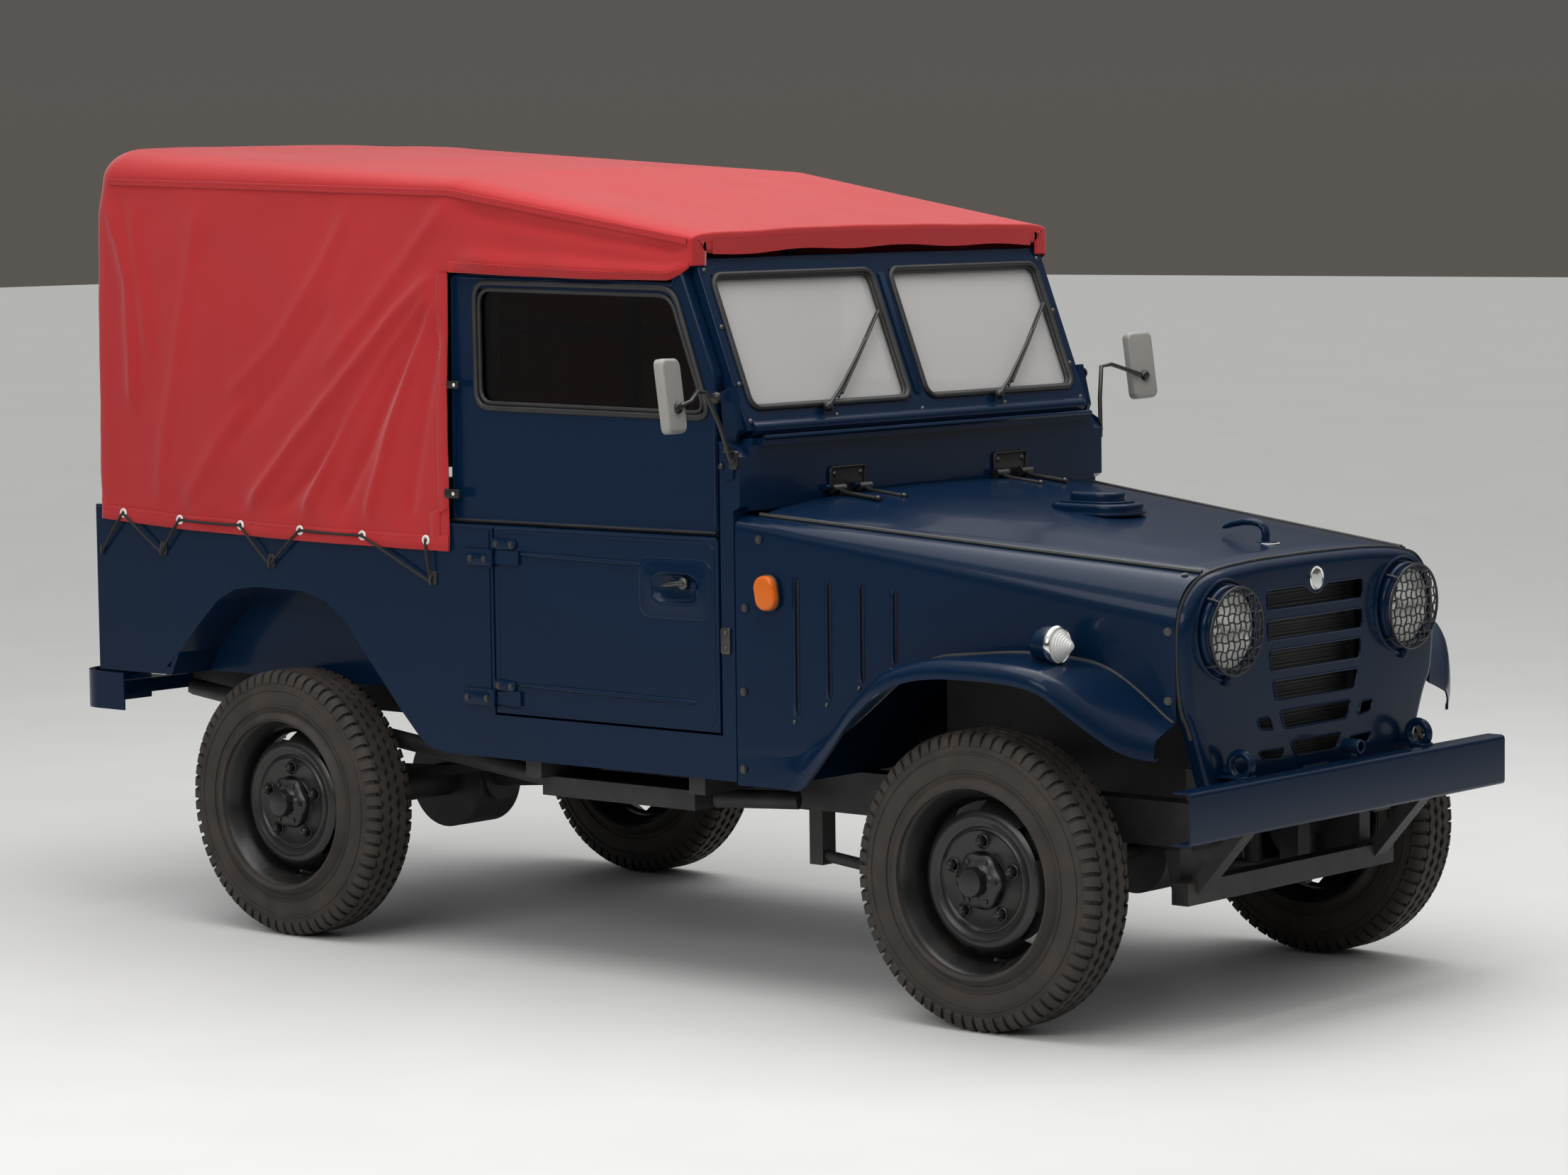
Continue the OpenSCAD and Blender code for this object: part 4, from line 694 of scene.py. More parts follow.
def bonnet_detail():
    top = bonnet_z(1050, 0)
    layers = ((224, 160, 62, 6, 0, 2), (214, 150, 58, 20, 6, 9), (176, 118, 48, 6, 25, 2),
              (130, 95, 40, 20, 31, 9))
    parts = [plate((a, b, r, 10), (h, e, 5), (1050, 0, top + 1 + z)) for a, b, r, h, z, e in layers]
    piece("bonnet_vent", parts, "paint", "bonnet", smooth=40)
    hz = bonnet_z(1520, 0)
    path = [(1520, hz + 2, 9), (1521, hz + 22, 8.5), (1517, hz + 36, 8.5), (1506, hz + 45, 8.5),
            (1488, hz + 49, 8.5),
            (1462, hz + 49, 8.5), (1436, hz + 44, 8), (1414, hz + 37, 6), (1404, hz + 33, 3)]
    hook = tube([(x, 0, z) for x, z, _ in path], [r for _, _, r in path], 14)
    hook = ([(x, y * 1.35, z) for x, y, z in hook[0]], hook[1])
    foot = plate((56, 40, 16), (5, 2.5), (1520, 0, hz + 1.5))
    piece("bonnet_handle", join(hook, foot), "paint", "bonnet", smooth=60)
    pad = plate((64, 48, 20), (2.5, 1), (1520, 0, hz + 0.8))
    piece("handle_gasket", pad, "eyelet", "bonnet", smooth=40)
    # hinges: a framed plate on the scuttle, a knuckle, and arms that run forward over the bonnet
    plates, steel, arms = [], [], []
    for s in (1, -1):
        yc = s * 310
        frame_ = rounded(126, 66, 9, 4, (yc, 1172))
        plates.append(tube([(553, y, z) for y, z in frame_], 3.4, 8, closed=True))
        inner_ = cushion_plate([(y, z) for y, z in rounded(122, 62, 8, 4, (yc, 1172))], 3, 1)
        plates.append(([(549 + p[2], p[0], p[1]) for p in inner_[0]], inner_[1]))
        for dy in (-48, 48):
            steel.append(place(dome(6.5, 4), (552, yc + dy, 1190), (1, 0, 0)))
            knuckle = tube([(562, yc + dy - 22, 1156), (562, yc + dy + 22, 1156)], 11, 16)
            steel.append(knuckle)
            z0, z1 = bonnet_z(590, 0.5) + 8, bonnet_z(690, 0.45) + 7
            arms.append(tube([(566, yc + dy, 1153), (590, yc + dy, z0), (692, yc + dy, z1)], [7, 6.5, 6], 8))
            steel.append(place(dome(6, 4), (682, yc + dy, z1 + 5), (0, 0, 1)))
    piece("hinge_frames", plates, "wheel", "body", smooth=40)
    piece("hinge_knuckles", steel, "steel", "bonnet", smooth=50)
    piece("hinge_arms", arms, "wheel", "bonnet", smooth=50)


bonnet_detail()

# grille
SLOT_ROWS = [(190, 189, 959, 913), (189, 187, 891, 845), (182, 177, 824, 777), (170, 157, 755, 709),
             (143, 125, 686, 644), (103, 81, 615, 578), (49, 42, 551, 540)]
SIDE_HOLES = [[(182, 678), (230, 678), (222, 652), (168, 646)],
              [(128, 602), (226, 604), (208, 582), (132, 578)]]


def inset_ring(ring, d):
    """Closed outline moved inwards by d."""
    n = len(ring)
    out = []
    for i in range(n):
        a, b = Vector(ring[i - 1]), Vector(ring[(i + 1) % n])
        t = (b - a).normalized()
        out.append((ring[i][0] - t.y * d, ring[i][1] + t.x * d))
    return out


def grille():
    half = [(0, 1026), (200, 1024), (330, 1017), (400, 1007), (446, 986), (482, 950), (499, 905), (499, 825),
            (496, 775),
            (487, 725), (478, 702), (459, 680), (430, 610), (408, 555), (393, 524), (372, 514), (0, 514)]
    ring = [(y, z) for y, z in half] + [(-y, z) for y, z in reversed(half[1:-1])]
    # a dense, even outline
    pts = [Vector(p) for p in round_poly(ring, 26, 3)]
    if sum(a.x * b.y - b.x * a.y for a, b in zip(pts, pts[1:] + pts[:1])) < 0:
        pts.reverse()
    ring = []
    for a, b in zip(pts, pts[1:] + pts[:1]):
        m = max(1, round((b - a).length / 16))
        ring += [tuple(a + (b - a) * k / m) for k in range(m)]
    ring = [p for i, p in enumerate(ring) if (Vector(p) - Vector(ring[i - 1])).length > 2]
    for _ in range(3):
        ring = [tuple((Vector(ring[i - 1]) + Vector(ring[i]) * 2 + Vector(ring[(i + 1) % len(ring)])) / 4)
                for i in range(len(ring))]
    roll = 24.0
    face = inset_ring(ring, roll)
    holes = []
    for k, (ht, hb, z1, z0) in enumerate(SLOT_ROWS):
        r = min(13, (z1 - z0) * 0.45)
        shape = [(-hb, z0), (hb, z0), (ht, z1), (-ht, z1)]
        if k == 0:  # the top slot dips under the badge
            shape = [(-hb, z0), (hb, z0), (ht, z1), (44, z1), (26, z1 - 14), (0, z1 - 21), (-26, z1 - 14),
                     (-44, z1), (-ht, z1)]
        holes.append(round_poly(shape, r, 5))
    for h in SIDE_HOLES:
        holes.append(round_poly(h, 9, 4))
        holes.append([(-y, z) for y, z in reversed(round_poly(h, 9, 4))])
    lamps = []
    for s in (1, -1):
        lamps.append([(s * LAMP_Y + 88 * math.cos(2 * math.pi * k / 48),
                       LAMP_Z + 88 * math.sin(2 * math.pi * k / 48))
                      for k in range(48)])
    fx = grille_x + 3
    me = bpy.data.meshes.new("grille_face")
    bm = bmesh.new()

    def loop(pts_):
        vs = [bm.verts.new((0, y * 0.001, z * 0.001)) for y, z in pts_]
        return [bm.edges.new((vs[i], vs[(i + 1) % len(vs)])) for i in range(len(vs))]

    edges = loop(face)
    for h in holes + lamps:
        edges += loop(h)
    bmesh.ops.triangle_fill(bm, use_beauty=True, use_dissolve=False, edges=edges)
    bm.to_mesh(me)
    bm.free()
    v = [(fx, p.co.y * 1000, p.co.z * 1000) for p in me.vertices]
    f = [tuple(p.vertices) for p in me.polygons]
    # the border rolls back to the wings
    n = len(ring)
    bands = [(fx - roll * (1 - math.cos(a)), inset_ring(ring, roll * (1 - math.sin(a)))) for a in
             [math.pi / 2 * k / 6 for k in range(7)]]
    bv = [(x, y, z) for x, loop_ in bands for y, z in loop_] + [(fx - roll - 20, y, z) for y, z in ring]
    piece("grille_face", join((v, f), (bv, ring_faces(7, n))), "paint", "body", replaces=("grille_panel",),
          smooth=50, solid=4)
    beads = [tube([(fx + 0.2, y, z) for y, z in h], 2.4, 8, closed=True) for h in holes]
    piece("grille_beads", beads, "paint", "body")
    fins = join(*[prism([(-196, z), (196, z), (196, z + 2.4), (-196, z + 2.4)], 0, 2)
                  for z in range(560, 965, 8)])
    fins = [(grille_x - 46 + p[2], p[0], p[1]) for p in fins[0]], fins[1]
    piece("radiator_fins", fins, "engine", "body", smooth=0)
    # a black sheet behind the fins: painted shade for the dark space behind the grille
    back = [(grille_x - 52, y * 0.86, 770 + (z - 770) * 0.86) for y, z in ring]
    piece("grille_shade", (back, [tuple(range(len(back)))]), "dark", "body", smooth=0)
    # black seals: down each side, and over the top against the bonnet
    x = fx - roll - 1
    side = [(x, y + 1, z) for y, z in ring if y > 395 and z > 640]
    side.sort(key=lambda p: -math.atan2(p[2] - 700, p[1]))
    over = [(x, y, z + 1) for y, z in ring if z > 985]
    over.sort(key=lambda p: p[1])
    piece("grille_seals", both(tube(side, 5, 8)), "rubber", "body")
    piece("nose_seal", tube(over, 5, 8), "rubber", "body")
    badge = turned([(27, 0), (27, 3.5), (25, 5.5), (23, 4.6), (21.5, 3.4), (12, 4.6), (0.01, 5)], 40,
                   (fx, 0, 972), (1, 0, 0))
    piece("round_badge", badge, "chrome", "body")
    pts_ = []
    for s in (1, -1):
        for x_, z_ in ((1615, 891), (1615, 740)):
            pts_.append(place(hexbolt(7, 4), (x_, s * (wing_at(x_, z_) + 1), z_), (0.3, s, 0)))
        pts_.append(place(hexbolt(7, 4), (1604, s * (seal_y(1604) + 26), seal_z(1604) - 4), (0, s * 0.35, 1)))
    piece("nose_bolts", pts_, "steel", "body")


grille()

# ---------- front: bumper, tow rings, guard, lamps ----------


def front_end():
    b0, b1 = bumper
    x1, z0, z1, w = b1.x * 1000, b0.z * 1000, 563.0, b1.y * 1000
    xf = x1 - 1
    prof = [(xf - 46, z1 - 1), (xf - 9, z1 - 1), (xf - 4, z1 - 2.5), (xf - 1, z1 - 6), (xf, z1 - 11),
            (xf, z0 + 11),
            (xf - 1, z0 + 6), (xf - 4, z0 + 2.5), (xf - 9, z0 + 1), (xf - 46, z0 + 1)]
    ys = [-w + 1] + [-w + 1 + (2 * w - 2) * k / 24 for k in range(1, 24)] + [w - 1]
    piece("bumper_shell", grid(len(ys), len(prof), lambda i, j: (prof[j][0], ys[i], prof[j][1])), "paint",
          "body",
          replaces=("front_bumper",), smooth=50, solid=4)
    rings = []
    for s in (1, -1):
        c = Vector((x1 - 62, s * 355, z1 + 26))
        rings.append(tube([c + Vector((27 * math.cos(a), 0, 27 * math.sin(a))) for a in
                           turns(32)], 9.5, 12, closed=True))
        rings.append(turned([(17, -16), (19, -12), (19, 12), (17, 16)], 24, c + Vector((0, 0, -38)),
                            (1, 0, 0)))
        rings.append(plate((88, 46, 12), (7, 3), c + Vector((-14, 0, -28)), (0, 0, 1)))
        rings.append(tube([c + Vector((-76, 0, -14)), c + Vector((-24, 0, -14))], 11, 12))
    piece("tow_rings", rings, "paint", "body", smooth=50)
    tx, ty, tz = x1 - 70, 60, z1 + 28
    ring_ = lathe([(14, 0), (16.5, 1), (16.5, 44), (15.5, 46), (12, 46), (11.5, 40), (11.5, 4), (14, 0)], 28)
    stem = tube([(tx + 22, ty, tz - 14), (tx + 22, ty, z1 - 2)], 9, 12)
    piece("crank_guide", join(place(ring_, (tx, ty, tz), (1, 0, 0)), stem), "paint", "body", smooth=50)


front_end()


def headlamp(s):
    """Lamp in a painted rim, under a waved wire guard."""
    c = Vector((grille_x + 3, s * LAMP_Y, LAMP_Z))
    z = Vector((math.cos(math.radians(3)), 0, -math.sin(math.radians(3))))
    name = "left" if s > 0 else "right"
    bucket = lathe([(84, -60), (91, -22), (96, -4), (99.5, 2), (101, 8), (100, 14), (96, 17), (93, 16.5)], 64)
    piece("headlamp_rim_" + name, place(bucket, c, z), "paint", "body", replaces=("headlamps",), smooth=50)
    inner = lathe([(93, 15), (91, 20), (88, 22), (85, 20), (83.5, 15)], 64)
    piece("headlamp_bezel_" + name, place(inner, c, z), "paint", "body", smooth=60)
    refl = lathe([(84, 12), (76, -8), (62, -26), (44, -40), (24, -48), (12, -50), (0.01, -50)], 48)
    piece("headlamp_reflector_" + name, place(refl, c, z), "reflector", "body", smooth=60)
    cap = lathe([(0.01, -12), (12, -13), (19, -18), (21, -26), (17, -34), (12, -50)], 24)
    piece("headlamp_bulb_shield_" + name, place(cap, c, z), "chrome", "body", smooth=60)
    n = 96
    v = []
    rad = [0.01, 12, 24, 36, 48, 60, 70, 78, 84]
    for r in rad:
        for j in range(n):
            a = 2 * math.pi * j / n
            y = r * math.cos(a)
            flute = 0.25 * math.cos(y / 5.0) if r < 80 else 0
            v.append((y, r * math.sin(a), 14 + 15 * (1 - (r / 84) ** 2) + flute))
    piece("headlamp_glass_" + name, place((v, ring_faces(len(rad) - 1, n)), c, z, x=(0, 1, 0)), "lens",
          "body", smooth=60, solid=2)
    # guard: a ring with four feet, and wires that weave over and under each other
    wires = [place(tube([(97 * math.cos(a), 97 * math.sin(a), 33) for a in turns(48)],
                        3.2, 8, closed=True), c, z, x=(0, 1, 0))]
    pitch = 20.0
    for axis in (0, 1):
        for q in range(-5, 6):
            off = q * pitch
            if abs(off) > 90:
                continue
            half = math.sqrt(95 ** 2 - off ** 2)
            pts = []
            for u in np.linspace(-half, half, max(9, int(half / 2.2))):
                wave = (3.4 if axis else 2.2) * math.sin(math.pi * u / pitch)
                h = (33 + 7 * (1 - (u / 96) ** 2) * (1 - (off / 96) ** 2)
                     + 1.2 * math.cos(math.pi * (u / pitch + q + axis)))
                pts.append((off + wave, u, h) if axis else (u, off + wave, h))
            wires.append(place(tube(pts, 1.9, 6), c, z, x=(0, 1, 0)))
    for a in (45, 135, 225, 315):
        q = math.radians(a)
        wires.append(place(tube([(97 * math.cos(q), 97 * math.sin(q), 33),
                                 (103 * math.cos(q), 103 * math.sin(q), 20),
                                 (106 * math.cos(q), 106 * math.sin(q), 4)], 3, 6), c, z, x=(0, 1, 0)))
    piece("headlamp_guard_" + name, wires, "wire", "body", smooth=50)
    clip = plate((22, 18, 4), (9, 3), (grille_x + 4, s * LAMP_Y, 773), (1, 0, 0))
    lug = turned([(8, 0), (8, 10), (5, 13), (0.01, 13)], 16, (grille_x + 4, s * LAMP_Y, 772), (1, 0, 0))
    piece("headlamp_clip_" + name, join(clip, lug), "paint", "body", smooth=40)
    outer = turned([(104, 0), (106.5, 3.5), (109, 4.5), (111.5, 3.5), (114, 0)], 64,
                   (grille_x + 3, s * LAMP_Y, LAMP_Z), (1, 0, 0))
    piece("headlamp_pressed_ring_" + name, outer, "paint", "body", smooth=60)


for side in (1, -1):
    headlamp(side)


def small_lamps():
    parts, lens, rim, cups = [], [], [], []
    for s in (1, -1):
        c = Vector((1390, s * 645, 862))
        shell = lathe([(0.01, -34), (17, -33), (30, -27), (38, -14), (41.5, 2), (42, 24), (40, 30)], 36)
        parts.append(place(shell, c, (1, 0, 0)))
        foot = cushion_plate(rounded(56, 44, 14), 30, 4)
        parts.append(place(foot, (c.x - 4, c.y, wing_base(c.x, c.y)), (0, 0, 1)))
        rim.append(turned([(42.5, 22), (44, 27), (43, 33), (39.5, 36), (36.5, 34)], 48, c, (1, 0, 0)))
        prof = [(37, 30)]
        for k in range(8):
            r0 = 36.5 - 4.0 * k
            prof += [(r0, 33 + 4.6 * k), (r0 - 0.8, 36.4 + 4.6 * k)]
        prof += [(3, 69), (0.01, 70)]
        lens.append(place(lathe(prof, 72), c, (1, 0, 0)))
        cups.append(turned([(33, 30), (20, 24), (8, 20), (0.01, 20)], 32, c, (1, 0, 0)))
    piece("position_lamp_shells", parts, "paint", "body", replaces=("lamps",), smooth=50)
    piece("position_lamp_rims", rim, "chrome", "body", smooth=60)
    piece("position_lamp_lenses", lens, "lens_white", "body", smooth=50)
    piece("position_lamp_cups", cups, "reflector", "body", smooth=60)
    # amber repeaters on the scuttle's sides
    base, glass = [], []
    for s in (1, -1):
        y = s * (wing_at(618, 939) + 1.0)
        rect = rounded(60, 80, 27, 8)
        p, q = cushion_plate(rounded(66, 86, 30, 8), 7, 3), cushion_plate(rect, 19, 9, 5)
        base.append(place(p, (618, y, 939), (0, s, 0), x=(math.cos(math.radians(10)), 0, 0.17)))
        glass.append(place(q, (618, y + s * 4, 939), (0, s, 0), x=(math.cos(math.radians(10)), 0, 0.17)))
    piece("repeater_bases", base, "plastic", "body")
    piece("repeater_lenses", glass, "amber", "body", smooth=50)
    # rear lamps
    shell, glass, low = [], [], []
    for s in (1, -1):
        c = Vector((tub_x0 + 2, s * 628, 865))
        shell.append(turned([(44, 0), (44, 16), (41, 20), (38, 20)], 36, c, (-1, 0, 0)))
        glass.append(turned([(38, 18), (37, 26), (30, 31), (16, 33.5), (0.01, 34)], 36, c, (-1, 0, 0)))
        c2 = Vector((tub_x0 + 2, s * 628, 770))
        shell.append(turned([(33, 0), (33, 14), (30, 18), (28, 18)], 32, c2, (-1, 0, 0)))
        low.append(turned([(28, 16), (27, 23), (20, 27), (0.01, 29)], 32, c2, (-1, 0, 0)))
    piece("tail_lamp_shells", shell, "plastic", "body", smooth=50)
    piece("tail_lamp_lenses", glass, "red_lens", "body", smooth=50)
    piece("rear_indicator_lenses", low, "amber", "body", smooth=50)


def wing_base(x, y):
    """Height of the mudguard's top at x, y."""
    pts = section(x)
    best = None
    for (y0, z0), (y1, z1) in zip(pts, pts[1:]):
        a, b = sorted((y0, y1))
        if a <= abs(y) <= b and b - a > 1:
            z = z0 + (z1 - z0) * (abs(y) - y0) / (y1 - y0)
            best = z if best is None else max(best, z) if z < 900 else best
    return (best or 820) - 2


small_lamps()

# ---------- tyres and wheels ----------


def tyre(name, c, body):
    """Carcass with zig-zag ribs and shoulder lugs."""
    hw2, R = tyre_w / 2, tyre_r
    prof = [(206, -70), (208, -80), (216, -84), (232, -hw2 + 8), (250, -hw2 + 2.5), (270, -hw2 + 0.8),
            (292, -hw2 + 4), (308, -hw2 + 9), (318, -hw2 + 15), (R - 11, -hw2 + 22), (R - 11, hw2 - 22),
            (318, hw2 - 15),
            (308, hw2 - 9), (292, hw2 - 4), (270, hw2 - 0.8), (250, hw2 - 2.5), (232, hw2 - 8), (216, 84),
            (208, 80),
            (206, 70)]
    parts = [lathe(prof, 96)]
    n = 66
    # raised rings on the sidewalls
    for sd in (-1, 1):
        for r, y in ((228, hw2 - 7.2), (244, hw2 - 2.6), (286, hw2 - 2.0)):
            parts.append(lathe([(r - 2.4, sd * y), (r - 1.2, sd * (y + 1.8)), (r + 1.2, sd * (y + 1.8)),
                                (r + 2.4, sd * y)], 96))
    # three zig-zag ribs
    for rib, (y0, wid) in enumerate(((-29, 22), (0, 20), (29, 22))):
        v, f = [], []
        m = n * 2
        for j in range(m):
            a = 2 * math.pi * j / m
            zig = 4.5 * (1 if j % 2 else -1) * (1 if rib != 1 else -1)
            for (dy, r) in ((-wid / 2, R - 12), (-wid / 2 + 1.2, R - 1.2), (wid / 2 - 1.2, R - 1.0),
                            (wid / 2, R - 12)):
                v.append((r * math.cos(a), r * math.sin(a), y0 + dy + zig))
        for j in range(m):
            k = (j + 1) % m
            f += [(j * 4 + q, k * 4 + q, k * 4 + q + 1, j * 4 + q + 1) for q in range(3)]
        parts.append((v, f))
    # shoulder lugs wrap from the tread onto the sidewall
    for sd in (-1, 1):
        for j in range(n):
            a0 = 2 * math.pi * (j + (0.5 if sd > 0 else 0)) / n
            da = 2 * math.pi / n * 0.34
            rows_ = []
            for (r, y, sl) in ((R - 1.5, 45.5, 0.45), (R - 2.0, hw2 - 22, 0.12), (R - 9, hw2 - 10.5, 0),
                               (318, hw2 - 6.0, 0),
                               (304, hw2 - 3.2, 0)):
                rows_.append([(r, sd * y, a0 - da + sl * da), (r, sd * y, a0 + da + sl * da)])
            low_ = [(R - 14, 45.5), (R - 14, hw2 - 24), (R - 22, hw2 - 20), (308, hw2 - 14), (296, hw2 - 8)]
            v, f = [], []
            for (p, q), (lr, ly) in zip(rows_, low_):
                for r, y, a in (p, q):
                    v.append((r * math.cos(a), r * math.sin(a), y))
                for r, y, a in ((lr, sd * ly, q[2]), (lr, sd * ly, p[2])):
                    v.append((r * math.cos(a), r * math.sin(a), y))
            for i in range(4):
                b = i * 4
                f += [(b, b + 1, b + 5, b + 4), (b + 1, b + 2, b + 6, b + 5), (b + 3, b, b + 4, b + 7)]
            f += [(0, 3, 2, 1), (16, 17, 18, 19)]
            parts.append((v, f))
    vf = join(*parts)
    piece("tyre_tread_" + name, place(vf, c, (0, 1, 0)), "tyre", body, replaces=("tyre_" + name,), smooth=40)


def wheel(name, c, body, s):
    """Pressed steel disc with kidney slots, five nuts and a hub."""

    def L(prof, n=60, skip=None):
        return place(lathe(prof, n, skip), c, (0, s, 0))

    # rim well and flange, outer side is +h
    rim = [(196, -66), (203, -78), (209, -82), (214, -78), (209, -66), (200, -60), (182, -44), (180, -10),
           (186, 10),
           (187, 34), (193, 40), (195, 52), (201, 58), (203, 66), (208, 69), (211, 75), (216, 78), (219, 75),
           (217, 69),
           (209, 63), (205, 56), (199, 50), (197, 38), (190, 32), (189, 8), (184, 0)]
    piece("rim_" + name, L(rim, 72), "wheel", body, replaces=("wheel_" + name,), smooth=45)
    prof = [(187, -6), (181, -6), (176, 0), (170, 10), (163, 22), (156, 32), (148, 38), (139, 40), (130, 37),
            (124, 32),
            (120, 32), (117, 36), (113, 37), (110, 33), (106, 31), (66, 31), (64, 34)]
    n = 120

    def skip(i, j):
        return 2 <= i <= 4 and (j % 24) in range(7, 17)

    piece("disc_" + name, L(prof, n, skip), "wheel", body, smooth=50, solid=3.5)
    hub = [(62, 28), (62, 46), (59, 50), (46, 54), (36, 58), (33, 62), (32, 78), (30, 82), (25, 83.5),
           (0.01, 83.5)]
    v, f = lathe(hub, 72)
    v = [(p[0] * k, p[1] * k, p[2]) for p in v
         for k in [1 + (0.055 * math.cos(6 * math.atan2(p[1], p[0])) if 35 < math.hypot(p[0], p[1]) else 0)]]
    nuts, cap = [], []
    for k in range(5):
        a = 2 * math.pi * k / 5 + math.pi / 2
        p = Vector(c) + Vector((87 * math.cos(a), s * 31, 87 * math.sin(a)))
        nuts.append(turned([(18, 0), (17, 3), (15, 4)], 20, p, (0, s, 0)))
        nuts.append(place(hexbolt(12.5, 14, False), p, (0, s, 0)))
        nuts.append(turned([(10.5, 13.5), (9, 18), (6.5, 20.5), (0.01, 21.5)], 16, p, (0, s, 0)))
    for k in range(6):
        a = 2 * math.pi * k / 6
        p = Vector(c) + Vector((50 * math.cos(a), s * 51, 50 * math.sin(a)))
        cap.append(place(hexbolt(6, 6, False), p, (0, s, 0)))
    piece("hub_" + name, join(place((v, f), c, (0, s, 0)), *cap), "wheel", body, smooth=40)
    piece("wheel_nuts_" + name, nuts, "wheel", body, smooth=35)
    valve = tube([Vector(c) + Vector((60, s * 30, -176)), Vector(c) + Vector((56, s * 62, -166))], 4, 8)
    piece("valve_" + name, valve, "rubber", body)
    back = lathe([(150, -40), (150, -6), (120, -4), (60, 0), (0.01, 2)], 48)
    piece("drum_" + name, place(back, c, (0, s, 0)), "chassis", body, smooth=50)


for end, ax in (("front", axle_f), ("rear", axle_r)):
    for sd, s in (("right", -1), ("left", 1)):
        nm = end + "_" + sd
        bd = end + "_" + sd + "_wheel"
        cc = (ax, s * wheel_y, axle_z)
        tyre(nm, cc, bd)
        wheel(nm, cc, bd, s)

# ---------- canopy: one sheet over the bows ----------
REAR, HOOP, FRONT = ((700, 1000, 682, 1897, 545, 1978, 1984), (700, 993, 682, 1858, 598, 1893, 1910),
                     (694, 995, 670, 1740, 575, 1757, 1765))
X_REAR, X_HOOP, X_FRONT = -1652.0, -372.0, 395.0
CURTAIN_X = -377.0
HEM = [(-1660, 1026), (-1342, 1009), (-892, 997), (-427, 993), (-300, 993)]
FLAP = [(-1700, 1672), (-412, 1668), (-181, 1659), (82, 1652), (330, 1650), (360, 1662), (395, 1684)]
FOLDS = [  # (height, width, points on the side as x, z)
    (11, 17, [(-389, 1678), (-549, 1566), (-701, 1426), (-908, 1246), (-1108, 1045)]),
    (11, 15, [(-402, 1644), (-564, 1480), (-730, 1286), (-902, 1035)]),
    (9, 14, [(-395, 1627), (-478, 1481), (-582, 1255), (-675, 1026)]),
    (5, 24, [(-1071, 1349), (-1193, 1221), (-1338, 1045)]),
    (8, 20, [(-1613, 1866), (-1526, 1648), (-1507, 1285)]),
    (5, 22, [(-1518, 1865), (-1462, 1558), (-1440, 1413)]),
    (6, 22, [(-360, 1848), (-471, 1738), (-647, 1565), (-827, 1406)]),
    (-8, 20, [(-440, 1598), (-476, 1567), (-653, 1375), (-834, 1178), (-1004, 1040)]),
    (-7, 16, [(-427, 1584), (-554, 1394), (-657, 1219), (-788, 1031)]),
    (-6, 18, [(-392, 1568), (-459, 1310), (-528, 1015)]),
    (5, 20, [(-700, 1840), (-820, 1660), (-980, 1480), (-1180, 1330)]),
    (-5, 26, [(-760, 1600), (-960, 1400), (-1200, 1180)]),
    (4, 24, [(-1250, 1860), (-1330, 1500), (-1400, 1200), (-1420, 1040)]),
]


def canopy_row(x):
    if x <= X_HOOP:
        t = (x - X_REAR) / (X_HOOP - X_REAR)
        return [a + (b - a) * t for a, b in zip(REAR, HOOP)]
    t = min(1, (x - X_HOOP) / (X_FRONT - X_HOOP))
    return [a + (b - a) * t for a, b in zip(HOOP, FRONT)]


def polyline_field(x, z, pts, fade=90):
    """Distance to a fold line, and how near its ends the point is."""
    best, total, where = 1e9, 0.0, 0.0
    for (x0, z0), (x1, z1) in zip(pts, pts[1:]):
        dx, dz = x1 - x0, z1 - z0
        n = math.hypot(dx, dz)
        u = min(1, max(0, ((x - x0) * dx + (z - z0) * dz) / (n * n)))
        d = math.hypot(x - x0 - dx * u, z - z0 - dz * u)
        if d < best:
            best, where = d, total + n * u
        total += n
    return best, step(0, fade, where) * step(0, fade, total - where)


def ripple(x, y, z, k, seed):
    return noise.noise(Vector((x * k + seed, y * k, z * k)))


def fold_height(x, z, s):
    """How far the side stands proud at x, z; s is the side, and the far side differs a little."""
    if s > 0:
        x, z = x + 40 * math.sin(z / 300), z - 14
    h = 0.0
    if x < -345:
        for amp, w, pts in FOLDS:
            d, k = polyline_field(x, z, pts)
            if d < 4 * w:
                h += 1.5 * amp * k * math.exp(-(d / w) ** 1.5)
    h += 5 * ripple(x, 0, z, 0.0035, 3 + s) + 2.2 * ripple(x, 0, z, 0.012, 9 + s)
    # puckers where the hem is laced
    for ex, ez in EYELETS:
        d = math.hypot(x - ex, (z - ez) * 0.6)
        if d < 160:
            h -= 5 * math.exp(-(d / 45) ** 2)
    h += 4 * math.exp(-((z - 1012) / 40) ** 2) * math.sin(x / 41 + 1.2) * (1 if x < CURTAIN_X else 0)
    return h


EYELETS = [(-1551, 1041), (-1336, 1032), (-1110, 1027), (-894, 1023), (-673, 1019), (-453, 1017)]
NA, NB, NC, ND = 54, 18, 9, 15


def flap_bulge(x, k):
    """The front flap rolls out over the window; k runs from its edge to the seam."""
    if x < CURTAIN_X:
        return 0.0
    fade = step(CURTAIN_X, CURTAIN_X + 110, x) * step(395, 320, x)
    roll = 15 * math.exp(-((k - 0.16) / 0.13) ** 2)
    fold = -9 * math.exp(-((k - 0.80 + 0.15 * (x + 372) / 760) / 0.10) ** 2)
    wave = 3.0 * math.sin(x / 47 + 5 * k) * (1 - k)
    return fade * (roll + fold + wave)


def height_at(x, line):
    return float(np.interp(x, [p[0] for p in line], [p[1] for p in line]))


